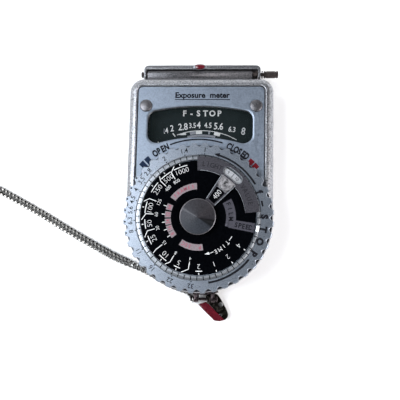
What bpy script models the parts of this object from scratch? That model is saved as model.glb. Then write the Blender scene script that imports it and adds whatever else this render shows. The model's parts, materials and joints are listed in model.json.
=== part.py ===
"""Pocket selenium exposure meter with a hinged cell cover, a calculator dial and a neck chain.

The meter lies on its back. +Z points out of its face, +Y to the cell end and +X to its right.
The origin is on the dial's axis, in the outer plane of the back cover. Every length below is in
millimetres, and the mesh helpers turn them into metres. Pieces that touch keep CLEAR between them.
"""

from math import acos, atan2, ceil, cos, degrees, pi, radians, sin, sqrt

import bmesh
import bpy
from mathutils import Matrix, Vector

MM = 0.001
CLEAR = 0.3

# Casing
HALF_WIDTH = 24.0
TOP_Y = 46.75
CORNER = 4.6
WALL = 1.4
BACK_FLOOR = 1.5
BACK_TOP = 2.2
RIM_TOP = 14.0
RIM_ROUND = 2.6
DECK = (11.2, 12.8)
PLATE_INSET = 3.1
PLATE = (13.1, 13.8)
BOSSES = ((20.2, 40.0), (-20.2, 40.0), (15.0, -14.6), (-15.0, -14.6))
RIVETS = ((-18.2, 37.1), (18.2, 37.1))

# Scale window, an arch between two arcs that share the meter's centre line
WINDOW_HALF = 17.15
WINDOW_TOP = (-37.1, 74.3)
WINDOW_BOTTOM = (-22.8, 49.3)
WINDOW_CORNER = 3.2
GLASS = (12.1, 12.8)

# Dial
RING_RADIUS = 23.95
RING_NOTCHES = 40
NOTCH_RADIUS = 1.2
RING_Z = (14.2, 17.4)
RING_POCKET = 19.9
RING_WEB = (15.5, 16.0)
DISC_RADIUS = 18.25
DISC_Z = (16.3, 16.9)
MASK_Z = (17.2, 17.6)
MASK_INNER, MASK_OUTER = 14.9, 19.5
JOURNAL = 4.2
TAB = (18.3, 100.5)
CAP_RADIUS = 5.7
CAP_Z = (17.9, 18.7, 20.7)

# Movement
PIVOT = (0.0, 6.55)
MAGNET_Z = (3.1, 7.1)
NEEDLE_REST = 37.0
NEEDLE_LENGTH = 24.2
NEEDLE_Z = (9.1, 9.5)
SCALE_Z = (8.2, 8.6)
ZERO_Y = 12.6

# Cell end and its hinged cover
NECK_HALF = 18.6
NECK_Y = (44.2, 50.4)
NECK_BOTTOM = 2.5
HINGE = (49.1, 9.7)
NECK_ROUND = 1.3
CELL_WINDOW = (16.4, 3.6, 8.1)
COVER_HALF = 19.75
COVER_Y = (50.7, 51.7)
COVER_Z = (0.7, 10.8)
EAR = 0.8

# Strap lug, clasp and chain
LUG_Z = (3.0, 5.6)
LUG_PIN = (-26.4, 4.3)
CLASP_Z = (0.4, 2.7)
CLASP_PIVOT = (7.2, -31.7)
CHAIN = 2.5
COIL_CENTRE = (-95.2, 3.8)
COIL_MIDDLE = 13.75
COIL_TURNS_ACROSS = 3
COIL_LAYERS = 2


# ---------------------------------------------------------------- helpers

def clear_scene():
    for obj in list(bpy.data.objects):
        bpy.data.objects.remove(obj, do_unlink=True)


def finish(name, colour, roughness, metallic):
    made = bpy.data.materials.new(name)
    made.use_nodes = True
    shader = made.node_tree.nodes["Principled BSDF"]
    shader.inputs["Base Color"].default_value = (*colour, 1.0)
    shader.inputs["Roughness"].default_value = roughness
    shader.inputs["Metallic"].default_value = metallic
    return made


def solid(name, material, build):
    """An object whose mesh is filled in by build(bm), welded and turned to face outward."""
    bm = bmesh.new()
    build(bm)
    bmesh.ops.scale(bm, vec=(MM, MM, MM), verts=bm.verts)
    bmesh.ops.remove_doubles(bm, verts=bm.verts, dist=1e-7)
    bmesh.ops.recalc_face_normals(bm, faces=bm.faces)
    mesh = bpy.data.meshes.new(name)
    bm.to_mesh(mesh)
    bm.free()
    mesh.shade_smooth()
    mesh.set_sharp_from_angle(angle=radians(35))
    mesh.materials.append(material)
    made = bpy.data.objects.new(name, mesh)
    bpy.context.scene.collection.objects.link(made)
    return made


def loft(name, material, rings):
    """A skin over rings with equal point counts, capped at both ends."""
    def build(bm):
        rows = [[bm.verts.new(point) for point in ring] for ring in rings]
        for low, high in zip(rows, rows[1:]):
            for i in range(len(low)):
                j = (i + 1) % len(low)
                bm.faces.new((low[i], low[j], high[j], high[i]))
        bm.faces.new(rows[0][::-1])
        bm.faces.new(rows[-1])
    return solid(name, material, build)


def prism(name, material, outline, low, high):
    return loft(name, material, [[(x, y, z) for x, y in outline] for z in (low, high)])


def turned(name, material, profile, centre=(0, 0, 0), axis="Z", steps=32):
    """A closed profile of (radius, height) turned about an axis through centre."""
    def place(radius, height, angle):
        across, along = radius * cos(angle), radius * sin(angle)
        point = {"Z": (across, along, height), "X": (height, across, along)}[axis]
        return Vector(point) + Vector(centre)

    def build(bm):
        rows = []
        for radius, height in profile:
            if radius < 1e-6:
                rows.append([bm.verts.new(place(0, height, 0))] * steps)
            else:
                rows.append([bm.verts.new(place(radius, height, 2 * pi * i / steps)) for i in range(steps)])
        for low, high in zip(rows, rows[1:] + rows[:1]):
            for i in range(steps):
                j = (i + 1) % steps
                corners = list(dict.fromkeys((low[i], low[j], high[j], high[i])))
                if len(corners) > 2:
                    bm.faces.new(corners)
    return solid(name, material, build)


def rod(name, material, centre, radius, low, high, axis="Z", steps=16):
    profile = ((0, low), (radius, low), (radius, high), (0, high))
    return turned(name, material, profile, centre, axis, steps)


def box(name, material, low, high, bevel=0.0):
    outline = ((low[0], low[1]), (high[0], low[1]), (high[0], high[1]), (low[0], high[1]))
    made = prism(name, material, outline, low[2], high[2])
    return rounded(made, bevel) if bevel else made


def rounded(target, width, segments=2):
    made = target.modifiers.new("Bevel", "BEVEL")
    made.width = width * MM
    made.segments = segments
    made.limit_method = "ANGLE"
    made.angle_limit = radians(50)
    return target


def boolean(target, tool, operation):
    made = target.modifiers.new("Boolean", "BOOLEAN")
    made.object = tool
    made.operation = operation
    made.solver = "EXACT"
    tool.hide_render = True
    tool.display_type = "WIRE"


def cut(target, *tools):
    for tool in tools:
        boolean(target, tool, "DIFFERENCE")
    return target


def join(target, *tools):
    for tool in tools:
        boolean(target, tool, "UNION")
    return target


def pivoted(made, point):
    """Moves the object's origin onto its joint's axis and leaves its shape where it is."""
    made.data.transform(Matrix.Translation(-Vector(point) * MM))
    made.location = Vector(point) * MM
    return made


def arc(cx, cy, radius, start, end, steps):
    angles = [radians(start + (end - start) * i / steps) for i in range(steps + 1)]
    return [(cx + radius * cos(a), cy + radius * sin(a)) for a in angles]


def clock(radius, angle):
    """The point at a radius from the dial's axis, angle in degrees clockwise from +Y."""
    return (radius * sin(radians(angle)), radius * cos(radians(angle)))


def smooth_route(points, spacing):
    """Points at even spacing along a Catmull-Rom curve through the given ones."""
    ends = [2 * Vector(points[0]) - Vector(points[1])]
    route = ends + [Vector(p) for p in points] + [2 * Vector(points[-1]) - Vector(points[-2])]
    fine = []
    for a, b, c, d in zip(route, route[1:], route[2:], route[3:]):
        for i in range(24):
            t = i / 24
            bend = 2 * a - 5 * b + 4 * c - d
            fine.append(0.5 * (2 * b + (c - a) * t + bend * t * t + (3 * b - 3 * c + d - a) * t ** 3))
    fine.append(route[-2])
    lengths = [0.0]
    for a, b in zip(fine, fine[1:]):
        lengths.append(lengths[-1] + (b - a).length)
    count = max(2, ceil(lengths[-1] / spacing))
    even, k = [], 0
    for i in range(count + 1):
        want = lengths[-1] * i / count
        while k < len(fine) - 2 and lengths[k + 1] < want:
            k += 1
        share = (want - lengths[k]) / (lengths[k + 1] - lengths[k])
        even.append(fine[k].lerp(fine[k + 1], share))
    return even


def tube(name, material, points, diameter, resolution=2):
    curve = bpy.data.curves.new(name, "CURVE")
    curve.dimensions = "3D"
    curve.bevel_depth = diameter / 2 * MM
    curve.bevel_resolution = resolution
    curve.use_fill_caps = True
    curve.resolution_u = 1
    spline = curve.splines.new("POLY")
    spline.points.add(len(points) - 1)
    for point, place in zip(spline.points, points):
        point.co = (*(Vector(place) * MM), 1.0)
    curve.materials.append(material)
    made = bpy.data.objects.new(name, curve)
    bpy.context.scene.collection.objects.link(made)
    return made


# ---------------------------------------------------------------- outlines

def body_outline(inset):
    """The meter's plan: a half circle about the dial's axis below, a rounded rectangle above."""
    half, top, corner = HALF_WIDTH - inset, TOP_Y - inset, max(CORNER - inset, 0.8)
    return (arc(0, 0, half, 180, 360, 32) + arc(half - corner, top - corner, corner, 0, 90, 5)
            + arc(corner - half, top - corner, corner, 90, 180, 5))


def window_outline(grow):
    half, corner = WINDOW_HALF + grow, WINDOW_CORNER
    (top_y, top_r), (low_y, low_r) = WINDOW_TOP, WINDOW_BOTTOM
    top_r, low_r = top_r + grow, low_r - grow
    side = half - corner
    high = top_y + sqrt((top_r - corner) ** 2 - side ** 2)
    low = low_y + sqrt((low_r + corner) ** 2 - side ** 2)
    top_turn = degrees(acos(side / (top_r - corner)))
    low_turn = degrees(acos(side / (low_r + corner)))
    right = arc(side, low, corner, low_turn - 180, 0, 5) + arc(side, high, corner, 0, top_turn, 5)
    over = arc(0, top_y, top_r, top_turn, 180 - top_turn, 12)[1:-1]
    left = [(-x, y) for x, y in right[::-1]]
    under = arc(0, low_y, low_r, 180 - low_turn, low_turn, 12)[1:-1]
    return right + over + left + under


def ring_outline(inset):
    """The f-stop ring's edge: round bites between crests, one bite at the top."""
    step = 360 / RING_NOTCHES
    half_notch = degrees(2 * atan2(NOTCH_RADIUS / 2, RING_RADIUS))
    points = []
    for k in range(RING_NOTCHES):
        crest = 90 - (k + 0.5) * step
        for turn in (step / 2 - half_notch, 0, half_notch - step / 2):
            points.append((RING_RADIUS - inset, crest + turn))
        for share in (0.25, 0.5, 0.75):
            turn = -step / 2 + half_notch - 2 * half_notch * share
            depth = NOTCH_RADIUS * sin(pi * share)
            points.append((RING_RADIUS - inset * 0.7 - depth, crest + turn))
    return [(r * cos(radians(a)), r * sin(radians(a))) for r, a in points]


def sector(inner, outer, start, end, steps):
    """A band between two radii and two clock angles."""
    turns = [start + (end - start) * i / steps for i in range(steps + 1)]
    return [clock(outer, t) for t in turns] + [clock(inner, t) for t in turns[::-1]]


def strip(start, end, half_start, half_end):
    """A straight tapering strip between two points, as an outline."""
    a, b = Vector(start), Vector(end)
    side = Vector((a.y - b.y, b.x - a.x)).normalized()
    return [tuple(p) for p in (a - side * half_start, b - side * half_end,
                               b + side * half_end, a + side * half_start)]


# ---------------------------------------------------------------- casing

def make_back_cover(paint, steel):
    levels = ((0.0, 1.3), (0.35, 0.5), (0.9, 0.0), (BACK_TOP, 0.0))
    cover = loft("back_cover", paint, [[(x, y, z) for x, y in body_outline(i)] for z, i in levels])
    cut(cover, prism("back_hollow", paint, body_outline(WALL), BACK_FLOOR, 4))
    for number, (x, y) in enumerate(BOSSES, 1):
        sink = ((0, -1), (2.6, -1), (2.0, 0.15), (1.1, 1.05), (1.1, 3), (0, 3))
        cut(cover, turned(f"sink_{number}", paint, sink, (x, y, 0), steps=20))
        screw = ((0, 0.15), (1.6, 0.15), (1.6, 0.3), (0.75, 1.15), (0.75, 7.5), (0, 7.9))
        made = turned(f"back_cover_screw_{number}", steel, screw, (x, y, 0), steps=12)
        cut(made, box(f"screw_slot_{number}", steel, (x - 2, y - 0.22, -0.5), (x + 2, y + 0.22, 0.45)))
    cut(cover, rod("zero_hole", paint, (0, ZERO_Y, 0), 1.9, -1, 3, steps=20))


def make_front_housing(paint):
    levels = [(BACK_TOP + CLEAR, 0.0), (RIM_TOP - RIM_ROUND, 0.0)]
    for i in range(1, 5):
        turn = radians(22.5 * i)
        levels.append((RIM_TOP - RIM_ROUND * (1 - sin(turn)), RIM_ROUND * (1 - cos(turn))))
    housing = loft("front_housing", paint,
                   [[(x, y, z) for x, y in body_outline(i)] for z, i in levels])
    cut(housing,
        prism("housing_hollow", paint, body_outline(WALL), 0, DECK[0]),
        prism("face_recess", paint, body_outline(PLATE_INSET - CLEAR), DECK[1], 16),
        prism("window_seat", paint, window_outline(1.3), GLASS[0] - CLEAR, 13.5),
        prism("window_opening", paint, window_outline(0.2), 10, 12.4),
        rod("post_hole", paint, (0, 0, 0), 3.3, 10, 14, steps=24),
        box("neck_opening", paint, (-NECK_HALF - CLEAR, 44.8, 0), (NECK_HALF + CLEAR, 48, DECK[0])))
    for number, (x, y) in enumerate(BOSSES, 1):
        join(housing, rod(f"boss_{number}", paint, (x, y, 0), 2.4, BACK_TOP + CLEAR, 12, steps=14))
        cut(housing, rod(f"boss_bore_{number}", paint, (x, y, 0), 1.05, 0, 8.4, steps=10))
    for x, y in RIVETS:
        cut(housing, rod("rivet_hole", paint, (x, y, 0), 0.9, 10, 14, steps=12))


def make_face(plate_metal, steel, glass):
    plate = prism("face_plate", plate_metal, body_outline(PLATE_INSET), *PLATE)
    cut(plate, prism("plate_window", plate_metal, window_outline(0), 12, 15),
        rod("plate_bore", plate_metal, (0, 0, 0), 3.3, 12, 15, steps=24))
    for side, (x, y) in zip(("left", "right"), RIVETS):
        cut(plate, rod("plate_hole", plate_metal, (x, y, 0), 0.9, 12, 15, steps=12))
        head = ((0, 11.0), (0.6, 11.0), (0.6, 14.1), (2.05, 14.1), (2.0, 14.4), (1.45, 14.75),
                (0.75, 14.9), (0, 14.95))
        turned(f"face_rivet_{side}", steel, head, (x, y, 0), steps=24)
    prism("window_glass", glass, window_outline(1.0), *GLASS)


# ---------------------------------------------------------------- cell end

def make_cell_end(neck_paint, cell_grey, lens, brass):
    hinge_y, hinge_z = HINGE
    profile = ([(NECK_Y[0], NECK_BOTTOM), (NECK_Y[1], NECK_BOTTOM)]
               + arc(hinge_y, hinge_z, NECK_ROUND, 0, 90, 5) + [(NECK_Y[0], hinge_z + NECK_ROUND)])
    neck = loft("cell_frame", neck_paint,
                [[(x, y, z) for y, z in profile] for x in (-NECK_HALF, NECK_HALF)])
    half, low, high = CELL_WINDOW
    cut(neck, box("cell_opening", neck_paint, (-half, 43, low), (half, 52, high)),
        box("spring_recess", neck_paint, (16.9, 47.2, 7.6), (20, 52, 12)),
        rod("hinge_bore", neck_paint, (0, hinge_y, hinge_z), 0.9, -20, 20, "X", 16))
    box("selenium_cell", cell_grey, (CLEAR - half, 45.4, low + CLEAR), (half - CLEAR, 46.1, high - CLEAR))
    crests = 16
    front = [(CLEAR - half + (half - CLEAR) * 2 * i / (2 * crests), 49.9 - 0.5 * (i % 2))
             for i in range(2 * crests + 1)]
    outline = front[::-1] + [(CLEAR - half, 47.6), (half - CLEAR, 47.6)]
    prism("cell_lens", lens, outline, low + CLEAR, high - CLEAR)
    for side, x in (("left", -11.5), ("right", 11.5)):
        bent = [(45.1, 7.4), (45.1, 4.6), (44.6, 4.2), (43.2, 4.2), (43.2, 3.8), (44.8, 3.8),
                (45.4, 4.4), (45.4, 7.4)]
        leaf = [(y - CLEAR, z) for y, z in bent]
        loft(f"cell_contact_{side}", brass, [[(x + w, y, z) for y, z in leaf] for w in (-1.2, 1.2)])


def make_cell_cover(chrome, enamel, steel):
    hinge_y, hinge_z = HINGE
    corner = 1.2
    low, high = COVER_Z
    face = (arc(COVER_HALF - corner, low + corner, corner, -90, 0, 4)
            + [(COVER_HALF, high), (-COVER_HALF, high)]
            + arc(corner - COVER_HALF, low + corner, corner, 180, 270, 4))
    cover = loft("cell_cover", chrome, [[(x, y, z) for x, z in face] for y in COVER_Y])
    for sign in (-1, 1):
        ear_profile = ([(COVER_Y[0] + 0.4, hinge_z - 1.4), (COVER_Y[0] + 0.4, hinge_z + 1.0)]
                       + arc(hinge_y, hinge_z, 1.4, 90, 270, 8))
        ends = (sign * COVER_HALF, sign * (COVER_HALF - EAR))
        join(cover, loft("ear", chrome, [[(x, y, z) for y, z in ear_profile] for x in ends]))
    for column in range(11):
        for row in range(3):
            x, z = 3.0 * (column - 5), 2.7 + 2.35 * row
            hole = [[(x + 0.85 * cos(pi * i / 3), y, z + 0.85 * sin(pi * i / 3)) for i in range(6)]
                    for y in (50, 53)]
            cut(cover, loft("perforation", chrome, hole))
    cut(cover, rod("ear_bore", chrome, (0, hinge_y, hinge_z), 0.9, -22, 22, "X", 16))
    pivoted(cover, (0, hinge_y, hinge_z))
    axis = (0, hinge_y, hinge_z)
    left_pin = ((0, -20.7), (1.0, -20.7), (1.0, -20.1), (0.6, -20.1), (0.6, -17.0), (0, -17.0))
    pivoted(turned("hinge_pin_left", steel, left_pin, axis, "X", 16), axis)
    pivoted(rod("hinge_axle", steel, axis, 0.6, 16.5, 22.0, "X", 16), axis)
    knob = ((0.9, 20.75), (1.1, 20.75), (1.2, 20.9), (1.2, 25.4), (1.05, 25.65), (0, 25.65),
            (0, 22.3), (0.9, 22.3))
    pivoted(turned("axle_knob", steel, knob, axis, "X", 20), axis)
    for number, (start, end) in enumerate(((18.25, 18.65), (20.05, 20.45)), 1):
        collar = ((0.9, start), (1.35, start), (1.35, end), (0.9, end))
        pivoted(turned(f"axle_collar_{number}", steel, collar, axis, "X", 20), axis)
    jewel = rounded(box("index_jewel", enamel, (-2.1, 50.85, 11.1), (0.7, 51.6, 11.55)), 0.2)
    pivoted(jewel, axis)


def make_drag_spring(steel):
    """A few turns of wire round the axle, in the recess of the neck."""
    turns, radius, start, pitch = 2.5, 1.15, 17.15, 0.38
    steps = int(turns * 12)
    points = []
    for i in range(steps + 1):
        turn = 2 * pi * i / 12
        points.append((start + pitch * turn / (2 * pi), HINGE[0] + radius * cos(turn),
                       HINGE[1] + radius * sin(turn)))
    tube("axle_drag_spring", steel, points, 0.24, 1)


# ---------------------------------------------------------------- dial

def make_dial_post(steel, brass):
    profile = ((0, 9.9), (3.0, 9.9), (3.0, 14.15), (5.9, 14.15), (5.9, 14.6), (JOURNAL, 14.6),
               (JOURNAL, 17.7), (2.0, 17.7), (2.0, 18.9), (0, 18.9))
    turned("dial_post", steel, profile, steps=24)
    nut = prism("dial_post_nut", brass, arc(0, 0, 5.0, 0, 300, 5), 9.75, DECK[0] - CLEAR)
    cut(nut, rod("nut_bore", brass, (0, 0, 0), 3.3, 9, 12, steps=20))
    washer = ((JOURNAL + CLEAR, 14.9), (6.6, 14.9), (6.6, 15.2), (JOURNAL + CLEAR, 15.2))
    turned("friction_washer", brass, washer, steps=24)


def make_fstop_ring(metal):
    levels = ((RING_Z[0], 0.0), (RING_Z[1] - 0.5, 0.0), (RING_Z[1], 0.5))
    ring = loft("fstop_ring", metal, [[(x, y, z) for x, y in ring_outline(i)] for z, i in levels])
    cut(ring, rod("ring_pocket", metal, (0, 0, 0), RING_POCKET, RING_WEB[1], 19, steps=54),
        rod("ring_under", metal, (0, 0, 0), 21.6, 13, RING_WEB[0], steps=36),
        rod("ring_bore", metal, (0, 0, 0), JOURNAL + CLEAR, 12, 19, steps=32))


def make_discs(black, grey, silver, steel):
    band = ((DISC_RADIUS + CLEAR, DISC_Z[0]), (RING_POCKET - CLEAR, DISC_Z[0]),
            (RING_POCKET - CLEAR, 17.0), (DISC_RADIUS + CLEAR, DISC_Z[1]))
    turned("graduated_ring", silver, band, steps=54)
    disc = ((JOURNAL + CLEAR, DISC_Z[0]), (DISC_RADIUS, DISC_Z[0]), (DISC_RADIUS, DISC_Z[1]),
            (JOURNAL + CLEAR, DISC_Z[1]))
    turned("speed_disc", black, disc, steps=48)
    tab = turned("setting_tab", steel, ((0, 17.2), (0.6, 17.2), (0.75, 17.7), (0.5, 18.2), (0, 18.3)),
                 (*clock(*TAB), 0), steps=12)
    pivoted(tab, (0, 0, 17.2))
    low, high = MASK_Z
    hub = ((JOURNAL + CLEAR, low), (6.4, low), (6.4, high), (JOURNAL + CLEAR, high))
    mask = turned("film_speed_mask", grey, hub, steps=32)
    pointer = strip(clock(5.6, 39), clock(15.6, 39), 1.7, 3.0)
    join(mask, prism("mask_band", grey, sector(MASK_INNER, MASK_OUTER, 0, 85, 28), *MASK_Z),
         prism("mask_pointer", grey, pointer, *MASK_Z))
    pill = sector(16.4, 18.3, 29.5, 48.5, 8)
    speed = strip(clock(7.4, 39), clock(11.2, 39), 1.2, 1.7)
    cut(mask, prism("value_window", grey, pill, 16.5, 18), prism("speed_window", grey, speed, 16.5, 18))


def make_centre_cap(metal):
    low, edge, peak = CAP_Z
    profile = ((2.3, low), (CAP_RADIUS - 0.2, low), (CAP_RADIUS, low + 0.2), (CAP_RADIUS, edge),
               (CAP_RADIUS - 0.35, edge + 0.3), (0, peak), (0, 19.2), (2.3, 19.2))
    turned("centre_cap", metal, profile, steps=32)


# ---------------------------------------------------------------- movement

def make_movement(iron, brass, steel, copper, jewel, white, scale_black):
    x, y = PIVOT
    low, high = MAGNET_Z
    turned("magnet_yoke", iron, ((6.6, low), (9.6, low), (9.6, high), (6.6, high)), (x, y, 0), steps=32)
    core = rod("pole_core", iron, (x, y, 0), 4.3, low + 0.8, high - 0.8, steps=28)
    join(core, box("core_web", iron, (x - 0.9, y - 6.3, 4.7), (x + 0.9, y + 6.3, 5.5)))
    cut(core, rod("core_bore", iron, (x, y, 0), 0.9, 2, 9, steps=12))
    coil = box("moving_coil", copper, (-6.1, -1.0, low), (6.1, 1.0, high))
    cut(coil, box("coil_opening", copper, (-4.9, -2, low + 0.45), (4.9, 2, high - 0.45)),
        rod("coil_bore", copper, (0, 0, 0), 0.7, 2, 9, steps=12))
    coil.location = Vector((x, y, 0)) * MM
    coil.rotation_euler.z = radians(NEEDLE_REST)
    for tool in (coil.modifiers[0].object, coil.modifiers[1].object):
        tool.location, tool.rotation_euler = coil.location, coil.rotation_euler
    staff = ((0, 2.1), (0.2, 2.4), (0.4, 2.6), (0.4, 8.8), (0, 8.8))
    pivoted(turned("pivot_staff", steel, staff, (x, y, 0), steps=12), (x, y, 0))
    blade = strip((0, -4.6), (0, NEEDLE_LENGTH), 0.45, 0.16)
    needle = prism("needle", white, blade, NEEDLE_Z[0] + 0.05, NEEDLE_Z[1] - 0.05)
    join(needle, rod("needle_hub", white, (0, 0, 0), 1.3, NEEDLE_Z[0], NEEDLE_Z[1], steps=16))
    tail = rod("counterweight", brass, (0, -4.0, 0), 0.55, 8.2, 8.8, steps=12)
    for made in (needle, needle.modifiers[0].object, tail):
        made.location = Vector((x, y, 0)) * MM
        made.rotation_euler.z = radians(NEEDLE_REST)
    make_bridges(brass, steel, jewel)
    make_hairspring(steel)
    outline = (arc(x, y, 19.2, 38, 142, 16) + arc(x, y, 25.0, 142, 136, 2)
               + [(-17.6, 30.0), (-17.6, 38.0), (17.6, 38.0), (17.6, 30.0)] + arc(x, y, 25.0, 44, 38, 2))
    prism("scale_plate", scale_black, outline, *SCALE_Z)


def make_bridges(brass, steel, jewel):
    x, y = PIVOT
    for name, (low, high), half in (("lower_bridge", (2.35, 2.8), 9.8), ("upper_bridge", (7.4, 7.9), 9.4)):
        bridge = box(name, brass, (x - half, y - 2.2, low), (x + half, y + 2.2, high))
        cut(bridge, rod("bridge_bore", brass, (x, y, 0), 1.8, 2, 9, steps=16))
        for sign in (-1, 1):
            cut(bridge, rod("bridge_hole", brass, (x + sign * 8.1, y, 0), 0.9, 2, 9, steps=10))
    turned("upper_jewel", jewel, ((0.7, 7.4), (1.5, 7.4), (1.5, 7.9), (0.7, 7.9)), (x, y, 0), steps=14)
    turned("lower_jewel", jewel, ((0.7, 2.35), (1.5, 2.35), (1.5, 2.8), (0.7, 2.8)), (x, y, 0), steps=14)
    for number, sign in enumerate((-1, 1), 1):
        hole = rod("magnet_hole", steel, (x + sign * 8.1, y, 0), 0.9, 5.0, 9, steps=10)
        cut(bpy.data.objects["magnet_yoke"], hole)
        screw = ((0, 5.4), (0.6, 5.4), (0.6, 8.2), (1.2, 8.2), (1.2, 8.7), (0, 8.7))
        turned(f"bridge_screw_{number}", steel, screw, (x + sign * 8.1, y, 0), steps=14)


def make_hairspring(steel):
    """A flat spiral above the upper bridge, from the staff out to the stud."""
    inner, pitch, turns, half, steps = 0.95, 0.70, 3.0, 0.1, 14
    count = int(turns * steps)
    rings = []
    for i in range(count + 1):
        turn = 2 * pi * i / steps
        radius = inner + pitch * turn / (2 * pi)
        rings.append([(PIVOT[0] + (radius + w) * cos(turn), PIVOT[1] + (radius + w) * sin(turn), z)
                      for w, z in ((-half, 8.2), (half, 8.2), (half, 8.5), (-half, 8.5))])
    loft("hairspring", steel, rings)


def make_zero_adjust(steel, brass):
    head = turned("zero_adjust_screw", steel,
                  ((0, 0.2), (1.45, 0.2), (1.6, 0.35), (1.6, 1.2), (0, 1.2)), (0, ZERO_Y, 0), steps=20)
    join(head, rod("zero_pin", steel, (0, ZERO_Y + 0.9, 0), 0.4, 1.0, 2.05, steps=10))
    cut(head, box("zero_slot", steel, (-2, ZERO_Y - 0.25, -0.5), (2, ZERO_Y + 0.25, 0.6)))
    pivoted(head, (0, ZERO_Y, 0))
    x, y = PIVOT
    lever = prism("zero_lever", brass, strip((x, y + 1.2), (x, ZERO_Y + 2.2), 1.0, 1.5), 1.8, 2.05)
    join(lever, rod("lever_hub", brass, (x, y, 0), 2.3, 1.8, 2.05, steps=20))
    cut(lever, rod("lever_bore", brass, (x, y, 0), 1.1, 1, 3, steps=14),
        box("lever_fork", brass, (-0.75, ZERO_Y - 0.6, 1), (0.75, ZERO_Y + 4, 3)))
    pivoted(lever, (x, y, 0))


def make_lead_wires(red, black):
    for name, material, side in (("lead_wire_red", red, -1), ("lead_wire_black", black, 1)):
        route = [(side * 11.5, 42.6, 4.0), (side * 12.6, 39.0, 3.4), (side * 15.0, 32.0, 2.6),
                 (side * 15.4, 24.0, 2.5), (side * 13.6, 16.0, 2.6), (side * 11.6, 10.5, 2.6),
                 (side * 10.6, 7.4, 2.6)]
        tube(name, material, smooth_route(route, 4.0), 0.8, 1)


# ---------------------------------------------------------------- strap lug, clasp and chain

def make_lug(steel):
    pin_y, pin_z = LUG_PIN
    base = arc(0, 0, 24.3, 262, 285, 6) + arc(0, 0, 24.7, 285, 262, 6)
    lug = prism("strap_lug", steel, base, *LUG_Z)
    for start, end in ((-1.45, -0.1), (4.0, 5.3)):
        ear = box("lug_ear", steel, (start, pin_y - 1.15, LUG_Z[0]), (end, -24.0, LUG_Z[1]))
        join(lug, ear)
        cut(lug, rod("ear_hole", steel, (0, pin_y, pin_z), 0.8, start - 0.5, end + 0.5, "X", 14))
    cut(lug, rod("lug_seat", steel, (0, 0, 0), 24.3, 2, 7, steps=64))
    pin = ((0, -3.15), (0.9, -3.15), (0.9, -2.55), (0.5, -2.55), (0.5, 5.6), (0.9, 5.6), (0.9, 6.2), (0, 6.2))
    turned("lug_pin", steel, pin, (0, pin_y, pin_z), "X", 14)


def clasp_outlines():
    """The clasp's crescent and its enamelled lever, both seen from above."""
    body = [(2.9, -27.6), (2.2, -25.3), (3.9, -24.85), (5.8, -25.2), (7.5, -26.6), (8.8, -28.8),
            (9.45, -31.0), (9.2, -32.6), (8.3, -33.4), (7.7, -33.1)]
    lever = [(0.0, -28.4), (2.1, -27.9), (5.6, -31.6), (6.9, -33.3), (5.7, -33.5), (4.9, -33.2)]
    return body, lever


def make_clasp(nickel, enamel, steel):
    pin_y, pin_z = LUG_PIN
    axis = (0, pin_y, pin_z)
    body_points, lever_points = clasp_outlines()
    body = prism("clasp_body", nickel, body_points, *CLASP_Z)
    knuckle = rod("clasp_knuckle", nickel, axis, 1.6, 2.2, 3.6, "X", 18)
    neck = box("clasp_neck", nickel, (2.2, pin_y - 1.6, CLASP_Z[0] + 0.6), (3.6, pin_y - 0.2, pin_z))
    px, py = CLASP_PIVOT
    join(body, knuckle, neck)
    cut(body, rod("knuckle_bore", nickel, axis, 0.8, 1, 5, "X", 14),
        rod("clasp_eye", nickel, (7.2, -28.3, 0), 0.8, -1, 4, steps=14),
        rod("clasp_slot", nickel, (px, py, 0), 1.9, 1.0, 2.1, steps=20),
        rod("clasp_rivet_hole", nickel, (px, py, 0), 0.75, -1, 4, steps=14),
        rod("ear_room", nickel, (4.65, pin_y, pin_z), 2.0, -0.95, 0.95, "X", 18))
    pivoted(body, axis)
    lever = prism("clasp_lever", enamel, lever_points, 0.6, 2.5)
    cut(lever, rod("lever_end", enamel, (px, py, 0), 2.05, -1, 4, steps=24))
    join(lever, rod("lever_tongue", enamel, (px, py, 0), 1.5, 1.3, 1.8, steps=18),
         prism("lever_root", enamel, strip((px, py), (4.9, -32.0), 0.8, 0.6), 1.3, 1.8))
    cut(lever, rod("lever_hole", enamel, (px, py, 0), 0.75, -1, 4, steps=14))
    pivoted(lever, (px, py, 1.55))
    rivet = rod("clasp_rivet", steel, (px, py, 0), 0.45, 0.4, 2.7, steps=12)
    pivoted(rivet, axis)


def chain_route():
    """The chain's middle line from the lug link to the coil: it lies on the surface throughout."""
    low = CHAIN / 2
    return [(-2.5, -26.3, low + 0.05), (-4.6, -25.6, low), (-7.4, -24.75, low), (-10.6, -23.55, low),
            (-14.0, -21.7, low), (-17.8, -19.0, low), (-22.6, -16.0, low), (-31.2, -12.0, low),
            (-45.8, -4.1, low), (-56.8, 2.1, low), (-71.7, 9.95, low)]


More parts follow.
